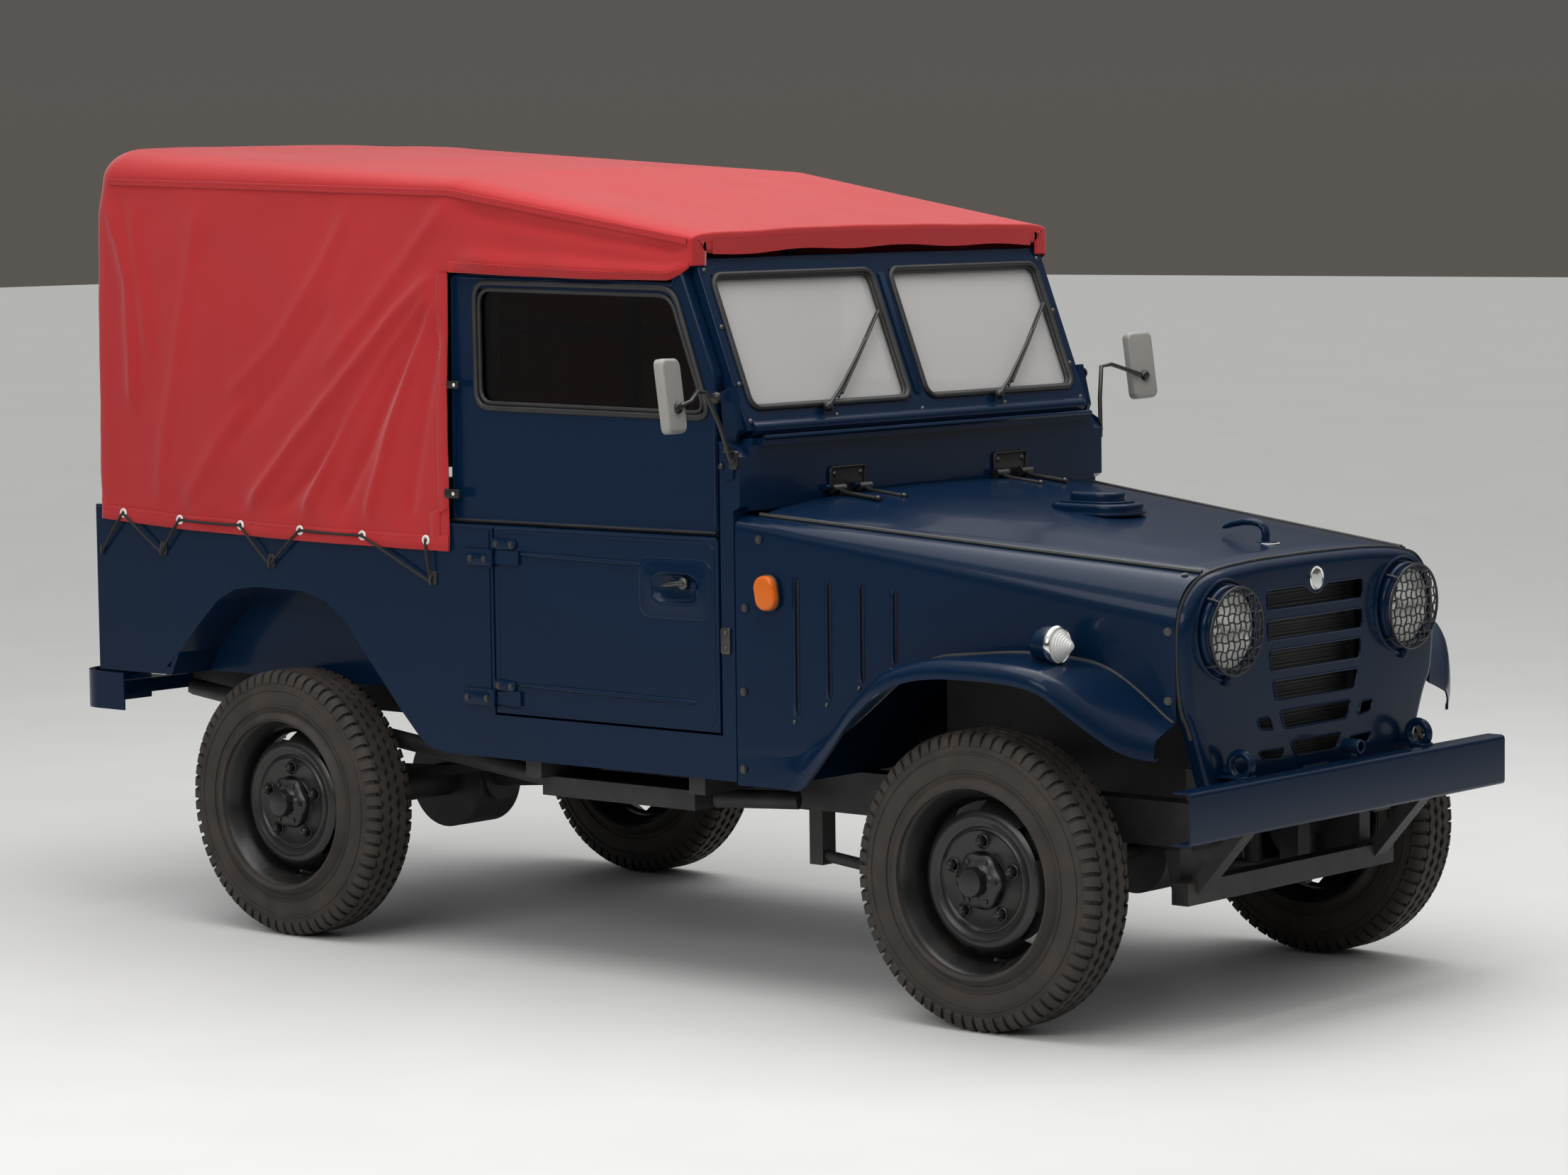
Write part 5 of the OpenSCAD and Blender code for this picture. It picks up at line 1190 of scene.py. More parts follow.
def canopy_line(x, s):
    """Right or left half of the section at x, from hem to crown."""
    hy, _, sy, sz, by, bz, cz = canopy_row(x)
    hz = height_at(x, HEM)
    fz = height_at(x, FLAP)
    out = []
    for k in range(NA + NB + 1):
        z = hz + (fz - hz) * k / NA if k <= NA else fz + (sz - fz) * (k - NA) / NB
        u = (z - hz) / (sz - hz)
        y = hy + (sy - hy) * u + 3 * math.sin(math.pi * u)
        y += fold_height(x, z, s) * step(0, 0.04, 1 - u) * (0.35 + 0.65 * step(0, 0.03, u))
        if k >= NA:
            y += flap_bulge(x, (k - NA) / NB)
        out.append((max(y, RIM_Y) if z < RIM_Z else y, z))
    y0 = out[-1][0]
    # tension along the seam under the roof
    for k in range(1, NC + 1):
        a = math.pi / 2 * k / NC
        out.append((by + (y0 - by) * math.cos(a), sz + (bz - sz) * math.sin(a)))
    for k in range(1, ND + 1):
        u = k / ND
        z = bz + (cz - bz) * math.sin(math.pi / 2 * u)
        # the roof sags between bows
        bays = ((X_REAR + 50, -925), (-925, X_HOOP), (X_HOOP, X_FRONT - 20))
        sag = sum(math.sin(math.pi * (x - a) / (b - a)) for a, b in bays if a < x < b)
        z -= 9 * sag * step(0, 0.5, u)
        z += 2.5 * ripple(x, by * (1 - u) * s, 0, 0.006, 30) * step(0, 0.2, u)
        out.append((by * (1 - u), z))
    return out


def canopy_columns():
    """Stations along x of the sheet's side, from the rear corner to the front edge."""
    back, front = 100, 60
    return ([X_REAR + 40 + (CURTAIN_X - X_REAR - 40) * (k / back) for k in range(back + 1)]
            + [CURTAIN_X + (X_FRONT - 6 - CURTAIN_X) * (k / front) for k in range(1, front + 1)])


def canopy_half(s):
    cols, tags = [], []
    base = canopy_line(X_REAR + 40, s)
    m = len(base)
    ns = NA + NB

    def centre(k):
        y, z = base[k]
        return (0.0, z) if k <= ns else (0.0, base[ns][1])

    def radius(k):
        return 26 + 40 * step(ns - 14, ns + 6, k)

    wall = 26
    for w in range(wall):  # rear wall, middle outwards
        col = []
        for k in range(m):
            cy, cz = centre(k)
            y, z = base[k]
            y -= 3
            full = math.hypot(y - cy, z - cz)
            inset = radius(k) + (full - radius(k)) * (1 - w / wall)
            u = inset / max(1e-6, full)
            bulge = 5 * ripple(0, y * (1 - u) * s, z, 0.006, 50)
            col.append((X_REAR - 3 + bulge * 0.8, y + (cy - y) * u, z + (cz - z) * u))
        cols.append(col)
        tags.append("wall")
    for q in range(7):  # round the corner
        a = math.pi / 2 * (1 - q / 7)
        col = []
        for k in range(m):
            cy, cz = centre(k)
            y, z = base[k]
            r = radius(k)
            full = math.hypot(y - cy, z - cz)
            u = (r - r * math.cos(a)) / max(1e-6, full)
            col.append((X_REAR - 3 + r - r * math.sin(a), y + (cy - y) * u, z + (cz - z) * u))
        cols.append(col)
        tags.append("corner")
    for x in canopy_columns():
        line_ = canopy_line(x, s)
        xr = [x + max(0.0, (radius(k) - 43)) * step(160, 0, x - X_REAR - 40) for k in range(m)]
        cols.append([(xr[k], y, z) for k, (y, z) in enumerate(line_)])
        tags.append("front" if x > CURTAIN_X - 0.5 else "rear")
    # the front turns down over the screen's top rail
    for q in range(1, 8):
        base_f = canopy_line(X_FRONT - 6, s)
        col = []
        for k in range(m):
            y, z = base_f[k]
            top = step(ns - 2, ns + NC - 1, k)
            if q <= 3:
                a = math.pi / 2 * q / 3
                dx, turn = 6 * math.sin(a), 6 - 6 * math.cos(a)
            else:
                dx, turn = 6, 6 + 11 * (q - 3)
            col.append((X_FRONT - 6 + dx, y - turn * (1 - top), z - turn * top))
        cols.append(col)
        tags.append("front")
    return cols, tags


def window_cut(cols, tags, i, k):
    y, z = cols[i][k][1], cols[i][k][2]
    half, foot, head = REAR_WINDOW
    return tags[i] == "wall" and abs(y) < half and foot < z < head and k < NA + NB


def canopy():
    verts, faces = [], []
    for s in (-1, 1):
        cols, tags = canopy_half(s)
        m = len(cols[0])
        n0 = len(verts)
        for c in cols:
            verts.extend((x, s * y, z) for x, y, z in c)
        for i in range(len(cols) - 1):
            for k in range(m - 1):
                if tags[i] == "front" and tags[i + 1] == "front" and k < NA:
                    continue
                if window_cut(cols, tags, i, k):
                    continue
                if tags[i] == "wall" and cols[i][k][2] < RIM_Z:
                    continue
                q = (n0 + i * m + k, n0 + (i + 1) * m + k, n0 + (i + 1) * m + k + 1, n0 + i * m + k + 1)
                faces.append(q if s < 0 else tuple(reversed(q)))
    return piece("canopy_sheet", (verts, faces), "canvas", "body", replaces=("canopy",), smooth=0, solid=2.2)


sheet = canopy()


def side_at(x, z, s=-1):
    """A point on the sheet's side, a little proud of it."""
    row = canopy_row(x)
    hz = height_at(x, HEM)
    u = (z - hz) / (row[3] - hz)
    y = row[0] + (row[2] - row[0]) * u + 3 * math.sin(math.pi * max(0, u))
    y += fold_height(x, z, s) * step(0, 0.04, 1 - u) * (0.35 + 0.65 * step(0, 0.03, u))
    if z < RIM_Z:
        y = max(y, RIM_Y)
    return Vector((x, s * (y + 1.5), z))


def canopy_trim():
    hems, threads, rings, cords, hooks, tabs = [], [], [], [], [], []
    for s in (-1, 1):
        xs = np.linspace(X_REAR + 30, CURTAIN_X - 1, 90)

        # doubled hem along the foot and the curtain's front edge
        def foot(i, j, s=s, xs=xs):
            p = side_at(xs[i], height_at(xs[i], HEM) + (-1, 2, 18, 34, 37)[j], s)
            return p + Vector((0, s * (0, 2.2, 2.4, 2.2, 0)[j], 0))

        hems.append(grid(len(xs), 5, foot))
        zs = np.linspace(995, 1662, 54)

        def edge(i, j, s=s, zs=zs):
            back = 30 * step(1096, 1084, zs[i])
            p = side_at(CURTAIN_X - back + (1, -2, -16, -30, -33)[j], zs[i], s)
            return p + Vector((0, s * (0, 2.2, 2.4, 2.2, 0)[j], 0))

        hems.append(grid(len(zs), 5, edge))

        def stitches(path, gap=9.0, length=5.5, r=0.75):
            out = []
            for a, b in zip(path, path[1:]):
                d = (b - a).length
                n = max(1, int(d / gap))
                for k in range(n):
                    p = a + (b - a) * (k / n)
                    q = p + (b - a).normalized() * length
                    out.append(tube([p, q], r, 4))
            return out

        threads += stitches([side_at(x, height_at(x, HEM) + 30, s) + Vector((0, s * 2.6, 0))
                             for x in np.linspace(-1610, -412, 40)])
        threads += stitches([side_at(CURTAIN_X - 27, z, s) + Vector((0, s * 2.6, 0))
                             for z in np.linspace(1100, 1650, 20)])
        # eyelets, hooks on the tub and the cord between them
        eye = []
        for ex, ez in EYELETS:
            p = side_at(ex, ez, s) + Vector((0, s * 2.5, 0))
            rings.append(turned([(5.5, 0.2), (6.5, 2.4), (9, 3.2), (11.5, 2.4), (12.5, 0)], 20, p, (0, s, 0)))
            eye.append(p + Vector((0, s * 3, 0)))
        hk = []
        for hx, hz2 in ((-1655, 941), (-1411, 947), (-1009, 934), (-440, 917)):
            y = s * 691.0
            if hx < -1650:
                y = s * 686.0
            base = Vector((hx + (10 if hx < -1650 else 0), y, hz2 + 8))
            hooks.append(plate((24, 34, 6), (3.5, 1.5), base, (0, s, 0)))
            hooks.append(tube([base + Vector((0, s * 2, 8)), base + Vector((0, s * 10, 4)),
                               base + Vector((0, s * 13, -6)),
                               base + Vector((0, s * 11, -16)), base + Vector((0, s * 6, -17))], 3.2, 8))
            hk.append(base + Vector((0, s * 9, -11)))
        route = [hk[0], eye[0], hk[1], eye[1], eye[2], hk[2], eye[3], eye[4], hk[3], eye[5]]
        for a, b in zip(route, route[1:]):
            mid_ = (a + b) / 2 + Vector((0, s * 5, -3 if abs(a.z - b.z) < 20 else 0))
            if a in eye and b in eye:
                mid_.y = (a.y + b.y) / 2 + s * 6
            pts = [a * (1 - t) ** 2 + mid_ * 2 * t * (1 - t) + b * t * t for t in np.linspace(0, 1, 9)]
            cords.append(tube(pts, 3.4, 8))
        # strap tabs on the curtain's edge, over to the hoop
        for x0, x1, z0, z1 in ((-363, -328, 1380, 1409), (-377, -332, 1115, 1150)):
            p = Vector(((x0 + x1) / 2 - 8, s * 698, (z0 + z1) / 2))
            tabs.append(place(cushion_plate(rounded(x1 - x0 + 4, 0.62 * (z1 - z0), 4), 5, 2), p, (0, s, 0),
                              x=(1, 0, 0)))
            rings.append(turned([(3, 0), (4.5, 2.5), (0.01, 3)], 14, p + Vector((8, s * 4.5, 0)), (0, s, 0)))
        # side seam below the roof: a lapped strip and two rows of thread
        path = []
        for x in np.linspace(X_REAR + 60, X_FRONT - 14, 90):
            line_ = canopy_line(x, s)
            y, z = line_[NA + NB]
            path.append(Vector((x, s * (y + 2.2), z)))

        def strip(i, j, path=path, s=s):
            return path[i] + Vector((0, s * (0.2, 2.0, 2.0, 0.2)[j], (-13, -12, 3, 4)[j]))

        hems.append(grid(len(path), 4, strip))
        threads += stitches([p + Vector((0, s * 2.2, -9)) for p in path[::3]])
        threads += stitches([p + Vector((0, s * 2.2, 0)) for p in path[::3]])
        # edge of the front flap
        xs2 = np.linspace(CURTAIN_X + 4, X_FRONT - 8, 60)
        lines2 = [canopy_line(x, s) for x in xs2]

        def flap(i, j, s=s):
            k = (NA, NA, NA + 1, NA + 2, NA + 2)[j]
            y, z = lines2[i][k]
            return (xs2[i], s * (y + (0.4, 2.4, 2.6, 2.4, 0.4)[j]), z + (-3, -2, 0, 2, 4)[j])

        hems.append(grid(len(xs2), 5, flap))
        threads += stitches([Vector((xs2[i], s * (lines2[i][NA + 2][0] + 2.8), lines2[i][NA + 2][1] - 1))
                             for i in range(2, len(xs2) - 2, 2)])
    # front hem over the screen
    def front(i, j):
        ys = np.linspace(-600, 600, 60)
        y = ys[i]
        row = canopy_row(X_FRONT - 6)
        u = max(0, 1 - abs(y) / row[4])
        z = row[5] + (row[6] - row[5]) * math.sin(math.pi / 2 * u) - 6
        return (X_FRONT + 2.5, y, z - (12, 14, 44, 47)[j] + 3 * math.sin(y / 60) * (1 if j > 1 else 0))

    hems.append(grid(60, 4, front))
    hem = piece("canopy_hems", hems, "canvas", "body", smooth=60, solid=1.2)
    th = piece("canopy_stitching", threads, "canvas", "body", smooth=0)
    rg = piece("canopy_eyelets", rings, "eyelet", "body", smooth=50)
    piece("canopy_cords", cords, "elastic", "body", smooth=60)
    piece("canopy_hooks", hooks, "chassis", "body", smooth=40)
    tb = piece("canopy_tabs", tabs, "plastic", "body", smooth=40)
    # rear window of clear film with a sewn frame
    wy, wz0, wz1 = REAR_WINDOW
    pane = rounded(2 * wy + 24, wz1 - wz0 + 24, 26, 6, (0, (wz0 + wz1) / 2))
    film = [(X_REAR - 2.0, y, z) for y, z in pane]
    fm = piece("rear_window_film", (film, [tuple(range(len(film)))]), "side_glass", "body", solid=0.8,
               smooth=0)
    inner = rounded(2 * wy - 30, wz1 - wz0 - 30, 34, 6, (0, (wz0 + wz1) / 2))
    outer = rounded(2 * wy + 50, wz1 - wz0 + 50, 40, 6, (0, (wz0 + wz1) / 2))
    n = len(inner)
    v = [(X_REAR - 7, y, z) for y, z in outer] + [(X_REAR - 9.5, y * 0.99, (z - 1515) * 0.985 + 1515)
                                                  for y, z in outer]
    v += [(X_REAR - 9.5, y * 1.01, (z - 1515) * 1.02 + 1515) for y, z in inner] + [(X_REAR - 6.5, y, z)
            for y, z in inner]
    wf = piece("rear_window_frame", (v, ring_faces(3, n)), "canvas", "body", smooth=50, solid=1)
    return [hem, th, rg, tb, fm, wf]


trim = canopy_trim()

# one section of the sheet at x = -1000; its flat size is not worked out here
ln = canopy_line(-1000, -1)

# ---------- doors ----------


def door(s):
    body = "left_door" if s > 0 else "right_door"
    nm = "left" if s > 0 else "right"
    out, top = s * TUB_Y, s * 672.0
    up = (0, s, 0)

    def on(pts, y):
        return [(x, y, z) for x, z in pts]

    rub = []
    ring = round_poly([(-300, 1340), (447, 1332), (340, 1629), (-302, 1640)], 42, 6)
    rub.append(tube(on(ring, top + s), 7.5, 8, closed=True))
    ring2 = round_poly([(-288, 1352), (430, 1344), (327, 1612), (-290, 1623)], 38, 6)
    rub.append(tube(on(ring2, top - s * 2), 5.5, 8, closed=True))
    piece("window_seal_" + nm, rub, "rubber", body, smooth=50)
    # pressed lines: raised beads in the panel
    sw = []
    for z0, z1, xa, xb in ((996, 989, -153, 238), (682, 676, -160, 412)):
        sw.append(tube([(xa, out, z0), (xa + 12, out + s * 1.5, z0),
                        ((xa + xb) / 2, out + s * 1.8, (z0 + z1) / 2),
                        (xb - 12, out + s * 1.5, z1), (xb, out, z1)], [1, 5, 5.5, 5, 1], 10))
    edge = round_poly([(-222, 622), (466, 622), (466, 1046), (-222, 1046)], 26, 5)
    sw.append(tube(on(edge, out - s * 1.2), 3.2, 8, closed=True))
    piece("door_pressings_" + nm, sw, "paint", body, smooth=60)
    # belt cap between leaf and top
    belt = [(-239, out - s * 2, 1056), (476, out - s * 2, 1056)]
    piece("door_belt_" + nm, tube(belt, 4.5, 8), "paint", body)
    seam = [(-385, top + s * 1.2, 1068), (462, top + s * 1.2, 1068)]
    piece("door_top_seal_" + nm, tube(seam, 5, 8), "rubber", body)
    top_edge = round_poly([(-384, 1072), (460, 1072), (460, 1430), (360, 1672), (345, 1672), (338, 1634),
                           (-366, 1652),
                           (-376, 1648)], 16, 4)
    piece("door_top_rim_" + nm, tube(on(top_edge, top - s * 0.5), 4.2, 8, closed=True), "paint", body)
    # handle in an oval dish that covers the recess
    rec = rounded(226, 142, 34, 10, (346, 936))
    c = Vector((346, 936))
    n = len(rec)
    rings_ = []
    for inset, dy in ((0, 0.2), (2, 1.6), (8, 1.8)):
        rings_.append([(c + (Vector(q) - c) * (1 - inset / (Vector(q) - c).length), dy) for q in rec])
    for half_w, half_h, dy in ((88, 50, 1.8), (84, 46, 3.6), (79, 41, 2.2), (75, 37, -3), (70, 32, -8),
                               (60, 25, -10.5)):
        ring_ = []
        for q in rec:
            d = (Vector(q) - c).normalized()
            k = 1 / math.hypot(d.x / half_w, d.y / half_h)
            ring_.append((c + d * k, dy))
        rings_.append(ring_)
    v = [(q.x, out + s * dy, q.y) for r_ in rings_ for q, dy in r_]
    last = len(rings_) - 1
    f = ring_faces(last, n) + [tuple(last * n + i for i in range(n))]
    piece("handle_surround_" + nm, (v, f), "paint", body, smooth=60)
    p = Vector((371, out, 949))
    lever = join(turned([(15, -10), (15, 2), (12, 6), (0.01, 7)], 24, p, up),
                 tube([p + Vector((8, s * 3, 2)), p + Vector((-16, s * 6, 0)), p + Vector((-44, s * 6, -4)),
                       p + Vector((-60, s * 4, -6))], [7, 7, 6, 4], 10))
    piece("door_handle_" + nm, lever, "steel", body, smooth=50)
    # hinges
    h, b = [], []
    for z0, z1, xa, xb in ((1002, 1031, -305, -157), (660, 692, -332, -165)):
        zm = (z0 + z1) / 2
        h.append(place(cushion_plate(round_poly([(-237, z0), (xb - 6, z0 + 4), (xb, zm), (xb - 6, z1 - 4),
                                                 (-237, z1)], 6), 6, 2),
                       (0, out + s * 1, 0), (0, s, 0), x=(1, 0, 0)) if s < 0 else
                 flip(place(cushion_plate(round_poly([(-237, z0), (xb - 6, z0 + 4), (xb, zm),
                                                      (xb - 6, z1 - 4), (-237, z1)], 6),
                                          6, 2), (0, -out - 1, 0), (0, -1, 0), x=(1, 0, 0))))
        b += [(xb - 16, out + s * 6, zm), (-222, out + s * 6, zm)]
    piece("door_hinge_straps_" + nm, h, "paint", body, smooth=40)
    piece("door_hinge_bolts_" + nm, bolts_at(b, up, hexbolt, r=6.5, h=4), "steel", body)
    fixed, b = [], []
    for z0, z1, xa, xb in ((963, 995, -324, -246), (626, 659, -342, -246)):
        vf = place(cushion_plate(rounded(xb - xa, z1 - z0, 7, 4, ((xa + xb) / 2, (z0 + z1) / 2)), 6, 2),
                   (0, -691, 0),
                   (0, -1, 0), x=(1, 0, 0))
        fixed.append(vf if s < 0 else flip(vf))
        b += [(xa + 16, s * 697, (z0 + z1) / 2), (xb - 16, s * 697, (z0 + z1) / 2)]
        fixed.append(tube([(-237, s * 700, z0 - 2), (-237, s * 700, z1 + 2)], 7.5, 12))
    piece("hinge_plates_" + nm, fixed, "paint", "body", smooth=40)
    piece("hinge_plate_bolts_" + nm, bolts_at(b, up, hexbolt, r=6.5, h=4), "steel", "body")


for side in (1, -1):
    door(side)

# ---------- windscreen ----------
TILT = Matrix.Rotation(math.radians(-21.6), 4, "Y")


def on_screen(vf):
    m = Matrix.Translation((screen_x0, 0, 1347)) @ TILT
    return [tuple(m @ Vector(p)) for p in vf[0]], vf[1]


def windscreen():
    seals, beads = [], []
    for s in (1, -1):
        pane = rounded(578, 328, 30, 6, (s * 322, 164))
        seals.append(on_screen(tube([(16.5, y, z) for y, z in pane], 7.5, 8, closed=True)))
        pane2 = rounded(566, 316, 26, 6, (s * 322, 164))
        seals.append(on_screen(tube([(10, y, z) for y, z in pane2], 6, 8, closed=True)))
        seals.append(on_screen(tube([(-16.5, y, z) for y, z in pane], 6, 8, closed=True)))
    piece("screen_seals", seals, "rubber", "body", smooth=50)
    frame_ = rounded(1288, 418, 22, 6, (0, 158))
    beads.append(on_screen(tube([(14, y, z) for y, z in frame_], 4.5, 8, closed=True)))
    bar = cushion_plate(rounded(22, 312, 8, 4, (0, 164)), 4, 2)
    beads.append(on_screen(([(16 + p[2], p[0], p[1]) for p in bar[0]], bar[1])))
    piece("screen_frame_beads", beads, "paint", "body", smooth=60)
    bolts = [(16.5, y, z) for y in (-628, 628) for z in (-30, 60, 200, 340)] + [(16.5, y, -30)
            for y in (-320, 0, 320)]
    piece("screen_bolts", on_screen(bolts_at(bolts, (1, 0, 0))), "steel", "body")
    # wiper blades with their clips
    arms, blades = [], []
    for y in (-360, 290):
        arms.append(on_screen(tube([(31, y, -12), (33, y + 60, 30), (31, y + 150, 100), (29, y + 212, 150)],
                                   [6, 4, 3.6, 3.2], 8)))
        arms.append(on_screen(turned([(12, 0), (12, 8), (9, 13), (6, 15), (0.01, 15.5)], 20, (26, y, -12),
                                     (1, 0, 0))))
        arms.append(on_screen(tube([(26.5, y + 70, 19), (28.5, y + 180, 116), (26.5, y + 296, 218)], 3.2, 8)))
        blades.append(on_screen(tube([(20, y + 60, 12), (20, y + 300, 222)], 3.6, 6)))
    piece("wiper_arms", arms, "wheel", "body", replaces=("wipers",), smooth=50)
    piece("wiper_blades", blades, "rubber", "body")
    bx = []
    for s in (1, -1):
        for x, z, r in ((485, 1381, 14), (515, 1262, 8), (500, 1225, 8)):
            bx.append(turned([(r, 0), (r, 5), (r * 0.7, 9), (0.01, 10)], 20, (x, s * 694, z), (0, s, 0)))
    piece("screen_pivot_knobs", bx, "wheel", "body", smooth=50)
    lip = [(cowl_x + 37, y, 1288) for y in np.linspace(-622, 622, 12)]
    piece("cowl_lip_bead", tube(lip, 6, 8), "paint", "body")
    # bolts and strikers on the scuttle's side
    pts = []
    for s in (1, -1):
        for x, z in ((555, 902), (549, 709), (593, 1060), (546, 530)):
            pts.append(place(hexbolt(7.5, 4), (x, s * (wing_at(max(532, x), z) + 1.5), z), (0, s, 0)))
    piece("scuttle_bolts", pts, "steel", "body")
    st = []
    for s in (1, -1):
        p = cushion_plate(rounded(28, 62, 6), 6, 2)
        st.append(place(p, (503, s * 690, 824), (0, s, 0), x=(1, 0, 0)))
        st.append(place(dome(6, 4), (503, s * 695.5, 842), (0, s, 0)))
        st.append(place(dome(6, 4), (503, s * 695.5, 806), (0, s, 0)))
    piece("door_strikers", st, "steel", "body")
    feet = []
    for x, z0, _ in LOUVRES:
        for s in (1, -1):
            feet.append(place(dome(5.5, 3.5), (x - 4, s * (wing_at(x, z0 - 12) + 1), z0 - 14), (0, s, 0)))
    piece("louvre_rivets", feet, "steel", "body")


windscreen()


def mirrors():
    shell, face, arms = [], [], []
    for s in (1, -1):
        c = Vector((523, s * 891, 1394))
        rot = Matrix.Rotation(math.radians(-8), 3, "Y") @ Matrix.Rotation(math.radians(-12 * s), 3, "Z")
        v, f = cushion_plate(rounded(80, 170, 16), 24, 10, 5)
        v = [tuple(rot @ Vector((p[2] - 12, p[0], p[1])) + c) for p in v]
        shell.append((v, f))
        q, g = cushion_plate(rounded(72, 162, 13), 2.5, 1)
        q = [tuple(rot @ Vector((-12 - p[2], p[0], p[1])) + c) for p in q]
        face.append((q, g))
        a = c + Vector((14, s * -4, -26))
        knee = Vector((503, s * 752, 1396))
        arms.append(tube([a, c + Vector((12, s * -52, -14)), knee + Vector((6, s * 34, 4)), knee,
                          Vector((520, s * 722, 1318)),
                          Vector((534, s * 705, 1242))], 5.5, 10))
        arms.append(turned([(13, 0), (13, 10), (9, 14), (0.01, 14)], 20, a - Vector((3, 0, 0)), (1, 0, 0)))
        arms.append(plate((26, 44, 8), (8, 3), (534, s * 690, 1240), (0, s, 0), x=(1, 0, 0)))
        arms.append(turned([(10, 0), (10, 8), (0.01, 9)], 16, (534, s * 694, 1242), (0, s, 0)))
    piece("mirror_shells", shell, "mirror_grey", "body", replaces=("mirrors",), smooth=50)
    piece("mirror_faces", face, "mirror_face", "body", smooth=30)
    piece("mirror_arms", arms, "wheel", "body", smooth=50)


mirrors()

# ---------- inside ----------


def steering():
    a, b = Vector((465, 330, 995)), Vector((226, 330, 1125))
    z = (b - a).normalized()
    rim = [(200 * math.cos(t), 200 * math.sin(t), 0) for t in turns(72)]
    parts = [place(tube(rim, [12 + 0.9 * math.cos(9 * t) for t in turns(72)], 12,
                        closed=True), b, z)]
    for q in (90, 210, 330):
        r = math.radians(q)
        d = Vector((math.cos(r), math.sin(r), 0))
        parts.append(place(tube([d * 20 + Vector((0, 0, -4)), d * 110 + Vector((0, 0, -8)), d * 194],
                                [9, 7, 8], 10), b, z))
    parts.append(turned([(30, -17), (31, 6), (27, 14), (16, 17), (0.01, 18)], 32, b, z))
    piece("steering_wheel_rim", parts, "plastic", "steering_wheel", replaces=("steering_wheel",),
          smooth=60)


steering()


def instruments():
    x = 468  # face of the dashboard
    parts, faces, rims = [], [], []
    for y, z, r in ((330, 1150, 48), (205, 1150, 26), (455, 1150, 26)):
        rims.append(turned([(r, 0), (r, 5), (r - 3, 7), (r - 5, 4)], 36, (x, y, z), (-1, 0, 0)))
        faces.append(turned([(r - 4, 3), (0.01, 3)], 36, (x, y, z), (-1, 0, 0)))
        parts.append(place(tube([(0, 0, 4.5), (r * 0.5, r * 0.3, 4.5)], 1.2, 6), (x, y, z), (-1, 0, 0)))
    for k in range(6):
        parts.append(turned([(8, 0), (8, 12), (6, 15), (0.01, 15)], 16, (x, -60 - 42 * k, 1130), (-1, 0, 0)))
    piece("dial_rims", rims, "chrome", "body", smooth=50)
    piece("dial_faces", faces, "plastic", "body")
    piece("dial_needles_and_knobs", parts, "eyelet", "body", smooth=50)


instruments()


def soft_pad(name, size, m, crown, cap):
    """Crowned pad, blown up by a short cloth run; size is along its own x, y, z."""
    sx, sy, sz = size
    n = 22
    nz = max(6, int(n * 0.4))
    v, f = [], []
    index = {}

    def vert(a, b, c):
        key = (a, b, c)
        if key not in index:
            u, w, h = a / n * 2 - 1, b / n * 2 - 1, c / nz * 2 - 1
            # squircle plan and pulled-in sides
            ru = u * (1 - 0.035 * w * w)
            rw = w * (1 - 0.035 * u * u)
            edge = max(abs(u), abs(w))
            lift = 1 - 0.42 * max(0, (edge - 0.72) / 0.28) ** 2
            z = h * lift
            if h > 0:
                z += crown / sz * 2 * (1 - u * u) * (1 - w * w) * h
            pull = 1 - 0.03 * abs(h)
            index[key] = len(v)
            v.append((ru * sx / 2 * pull, rw * sy / 2 * pull, z * sz / 2))
        return index[key]

    for a in range(n):
        for b in range(n):
            for c, order in ((0, 1), (nz, -1)):
                q = (vert(a, b, c), vert(a, b + 1, c), vert(a + 1, b + 1, c), vert(a + 1, b, c))
                f.append(q[::order])
    for a in range(n):
        for c in range(nz):
            for b, order in ((0, -1), (n, 1)):
                q = (vert(a, b, c), vert(a, b, c + 1), vert(a + 1, b, c + 1), vert(a + 1, b, c))
                f.append(q[::order])
            for b, order in ((0, 1), (n, -1)):
                q = (vert(b, a, c), vert(b, a, c + 1), vert(b, a + 1, c + 1), vert(b, a + 1, c))
                f.append(q[::order])
    v = [tuple(m @ Vector(p)) for p in v]
    ob = piece(name, (v, f), "leather", "body", smooth=0)
    start = [p.co.copy() for p in ob.data.vertices]
    bpy.context.view_layer.objects.active = ob
    md = ob.modifiers.new("cloth", "CLOTH")
    md.settings.use_pressure = True
    md.settings.uniform_pressure_force = 4
    md.settings.quality = 6
    md.settings.mass = 0.35
    md.settings.tension_stiffness = md.settings.compression_stiffness = 40
    md.settings.bending_stiffness = 4
    md.settings.effector_weights.gravity = 0
    md.collision_settings.use_collision = False
    for k in range(1, 15):
        scene.frame_set(k)
    dg = bpy.context.evaluated_depsgraph_get()
    ev = ob.evaluated_get(dg).to_mesh()
    new = [p.co.copy() for p in ev.vertices]
    ob.evaluated_get(dg).to_mesh_clear()
    ob.modifiers.remove(md)
    scene.frame_set(1)
    for p, a, b in zip(ob.data.vertices, start, new):
        d = b - a
        if d.length > cap * 0.001:
            d = d * (cap * 0.001 / d.length)
        p.co = a + d
    md = ob.modifiers.new("sub", "SUBSURF")
    md.levels = md.render_levels = 1
    # piping round the pad's edge
    ring = [Vector((sx * 0.468 * math.copysign(abs(math.cos(t)) ** 0.22, math.cos(t)),
                    sy * 0.468 * math.copysign(abs(math.sin(t)) ** 0.22, math.sin(t)), sz * 0.30))
            for t in turns(80)]
    piece(name + "_piping", tube([m @ p for p in ring], 3.4, 8, closed=True), "leather", "body", smooth=60)
    return ob


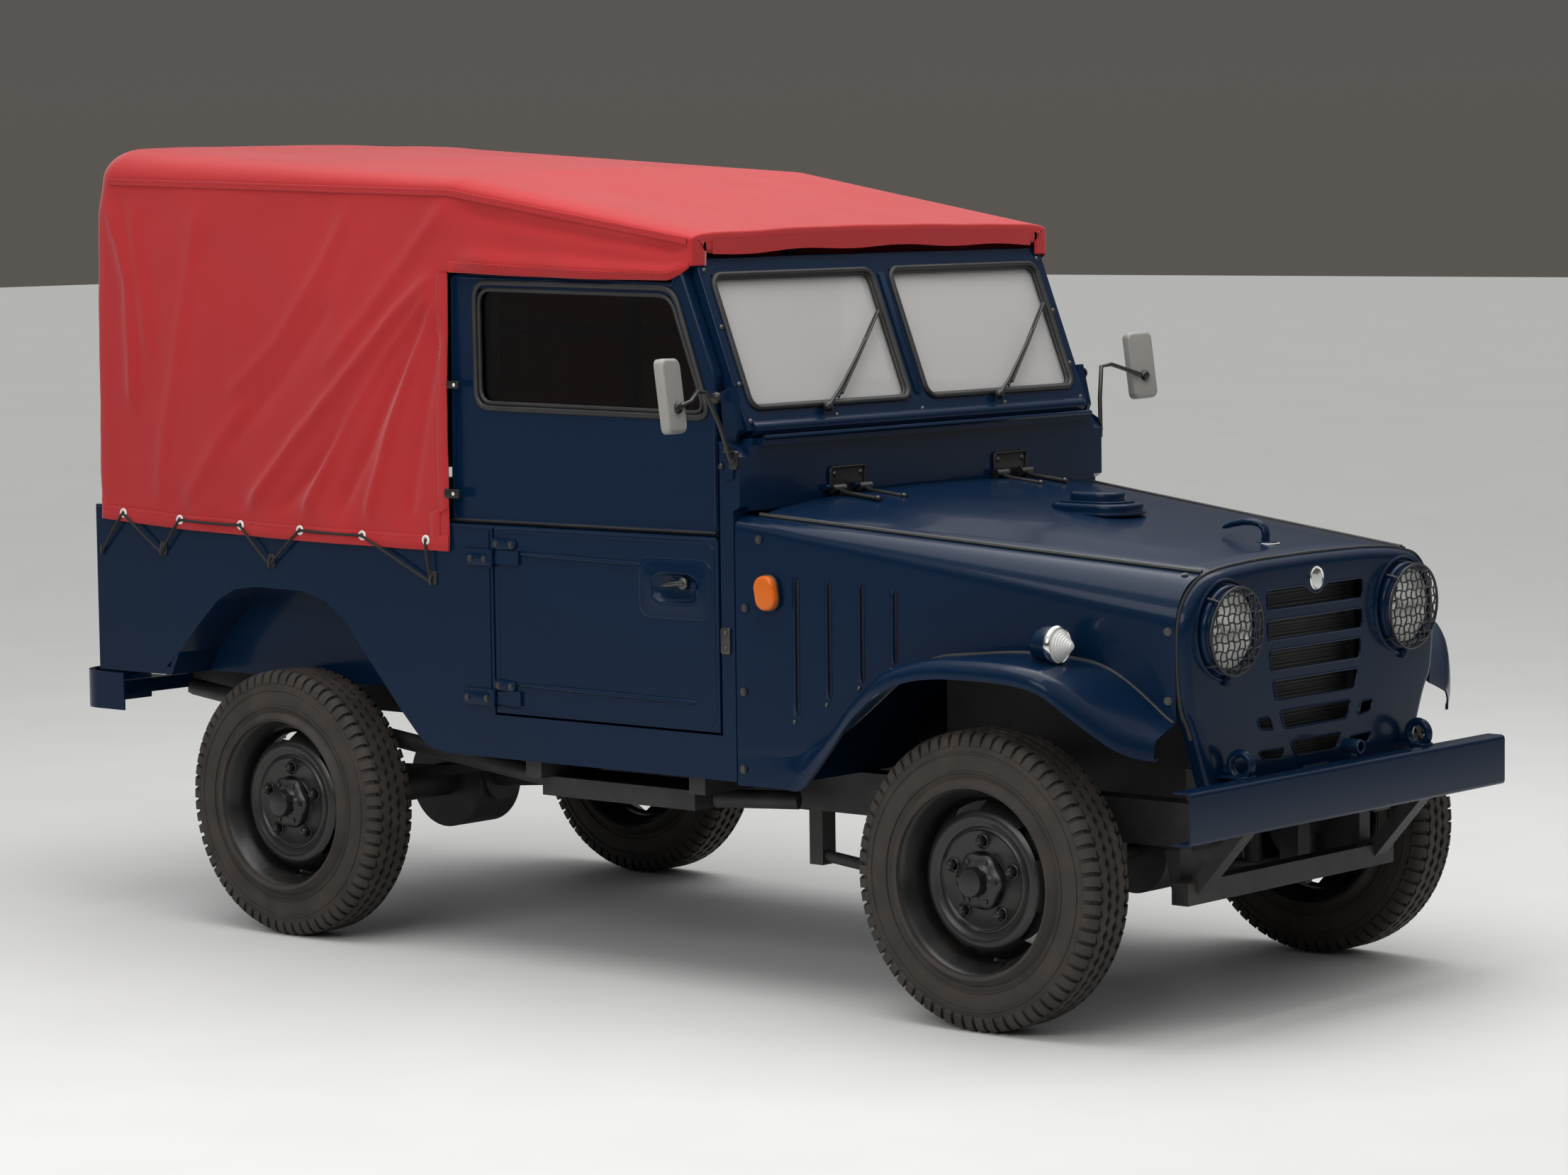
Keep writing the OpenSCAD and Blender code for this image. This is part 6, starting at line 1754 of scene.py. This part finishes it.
def cushions():
    for s, nm in ((1, "driver"), (-1, "passenger")):
        c = Vector((41, s * 330, 768))
        soft_pad("seat_base_" + nm, (408, 396, 82), Matrix.Translation(c), 8, 12)
        tilt = Matrix.Translation((-176, s * 330, 710)) @ Matrix.Rotation(math.radians(-10.7), 4, "Y")
        m = tilt @ Matrix.Translation((47, 0, 325)) @ Matrix.Rotation(math.radians(90), 4, "Y")
        soft_pad("seat_back_" + nm, (376, 378, 58), m, 6, 10)
        side = "left" if s > 0 else "right"
        m = Matrix.Translation((-1000, s * 433, 930))
        soft_pad("bench_" + side, (1190, 192, 40), m, 4, 6)
    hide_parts("seat_cushions")


cushions()

# ---------- tub, tail and underside ----------


def tub_detail():
    b = []
    for s in (1, -1):
        b.append(tube([(tub_x0 + 4, s * 689, 1056), (-232, s * 689, 1056)], 4.5, 8))
        b.append(tube([(-252, s * 691, 640), (-252, s * 691, 1046)], 2.6, 8))
    piece("tub_beads", b, "paint", "body", smooth=50)
    t = []
    for z0 in (724, 960):
        t.append(tube([(tub_x0 - 1, -476, z0), (tub_x0 - 1, 476, z0)], 4, 8))
    frame_ = rounded(2 * 470, 240, 24, 5, (0, 842))
    t.append(tube([(tub_x0 - 0.5, yy, zz) for yy, zz in frame_], 4.0, 8, closed=True))
    piece("tailgate_pressings", t, "paint", "tailgate", smooth=50)
    lat = []
    for s in (1, -1):
        lat.append(plate((58, 26, 7), (8, 3), (tub_x0 - 0.5, s * 500, 1020), (-1, 0, 0)))
    piece("tailgate_latches", lat, "steel", "tailgate", smooth=40)
    h = []
    for yh in (-400, -20, 360):
        h.append(plate((60, 38, 6), (4, 2), (tub_x0 - 0.5, yh + 20, 684), (-1, 0, 0)))
        h.append(tube([(-1683, yh - 1, 642), (-1683, yh + 41, 642)], 9.6, 14))
    piece("tailgate_hinge_leaves", h, "paint", "tailgate", smooth=40)
    refl = []
    for s in (1, -1):
        refl.append(turned([(22, 0), (22, 4), (19, 7), (0.01, 7.5)], 28, (tub_x0 + 1, s * 628, 700),
                           (-1, 0, 0)))
    piece("rear_reflectors", refl, "red_lens", "body", smooth=50)


tub_detail()

# ---------- finish ----------
scene.view_settings.view_transform = "Standard"
bpy.context.view_layer.update()
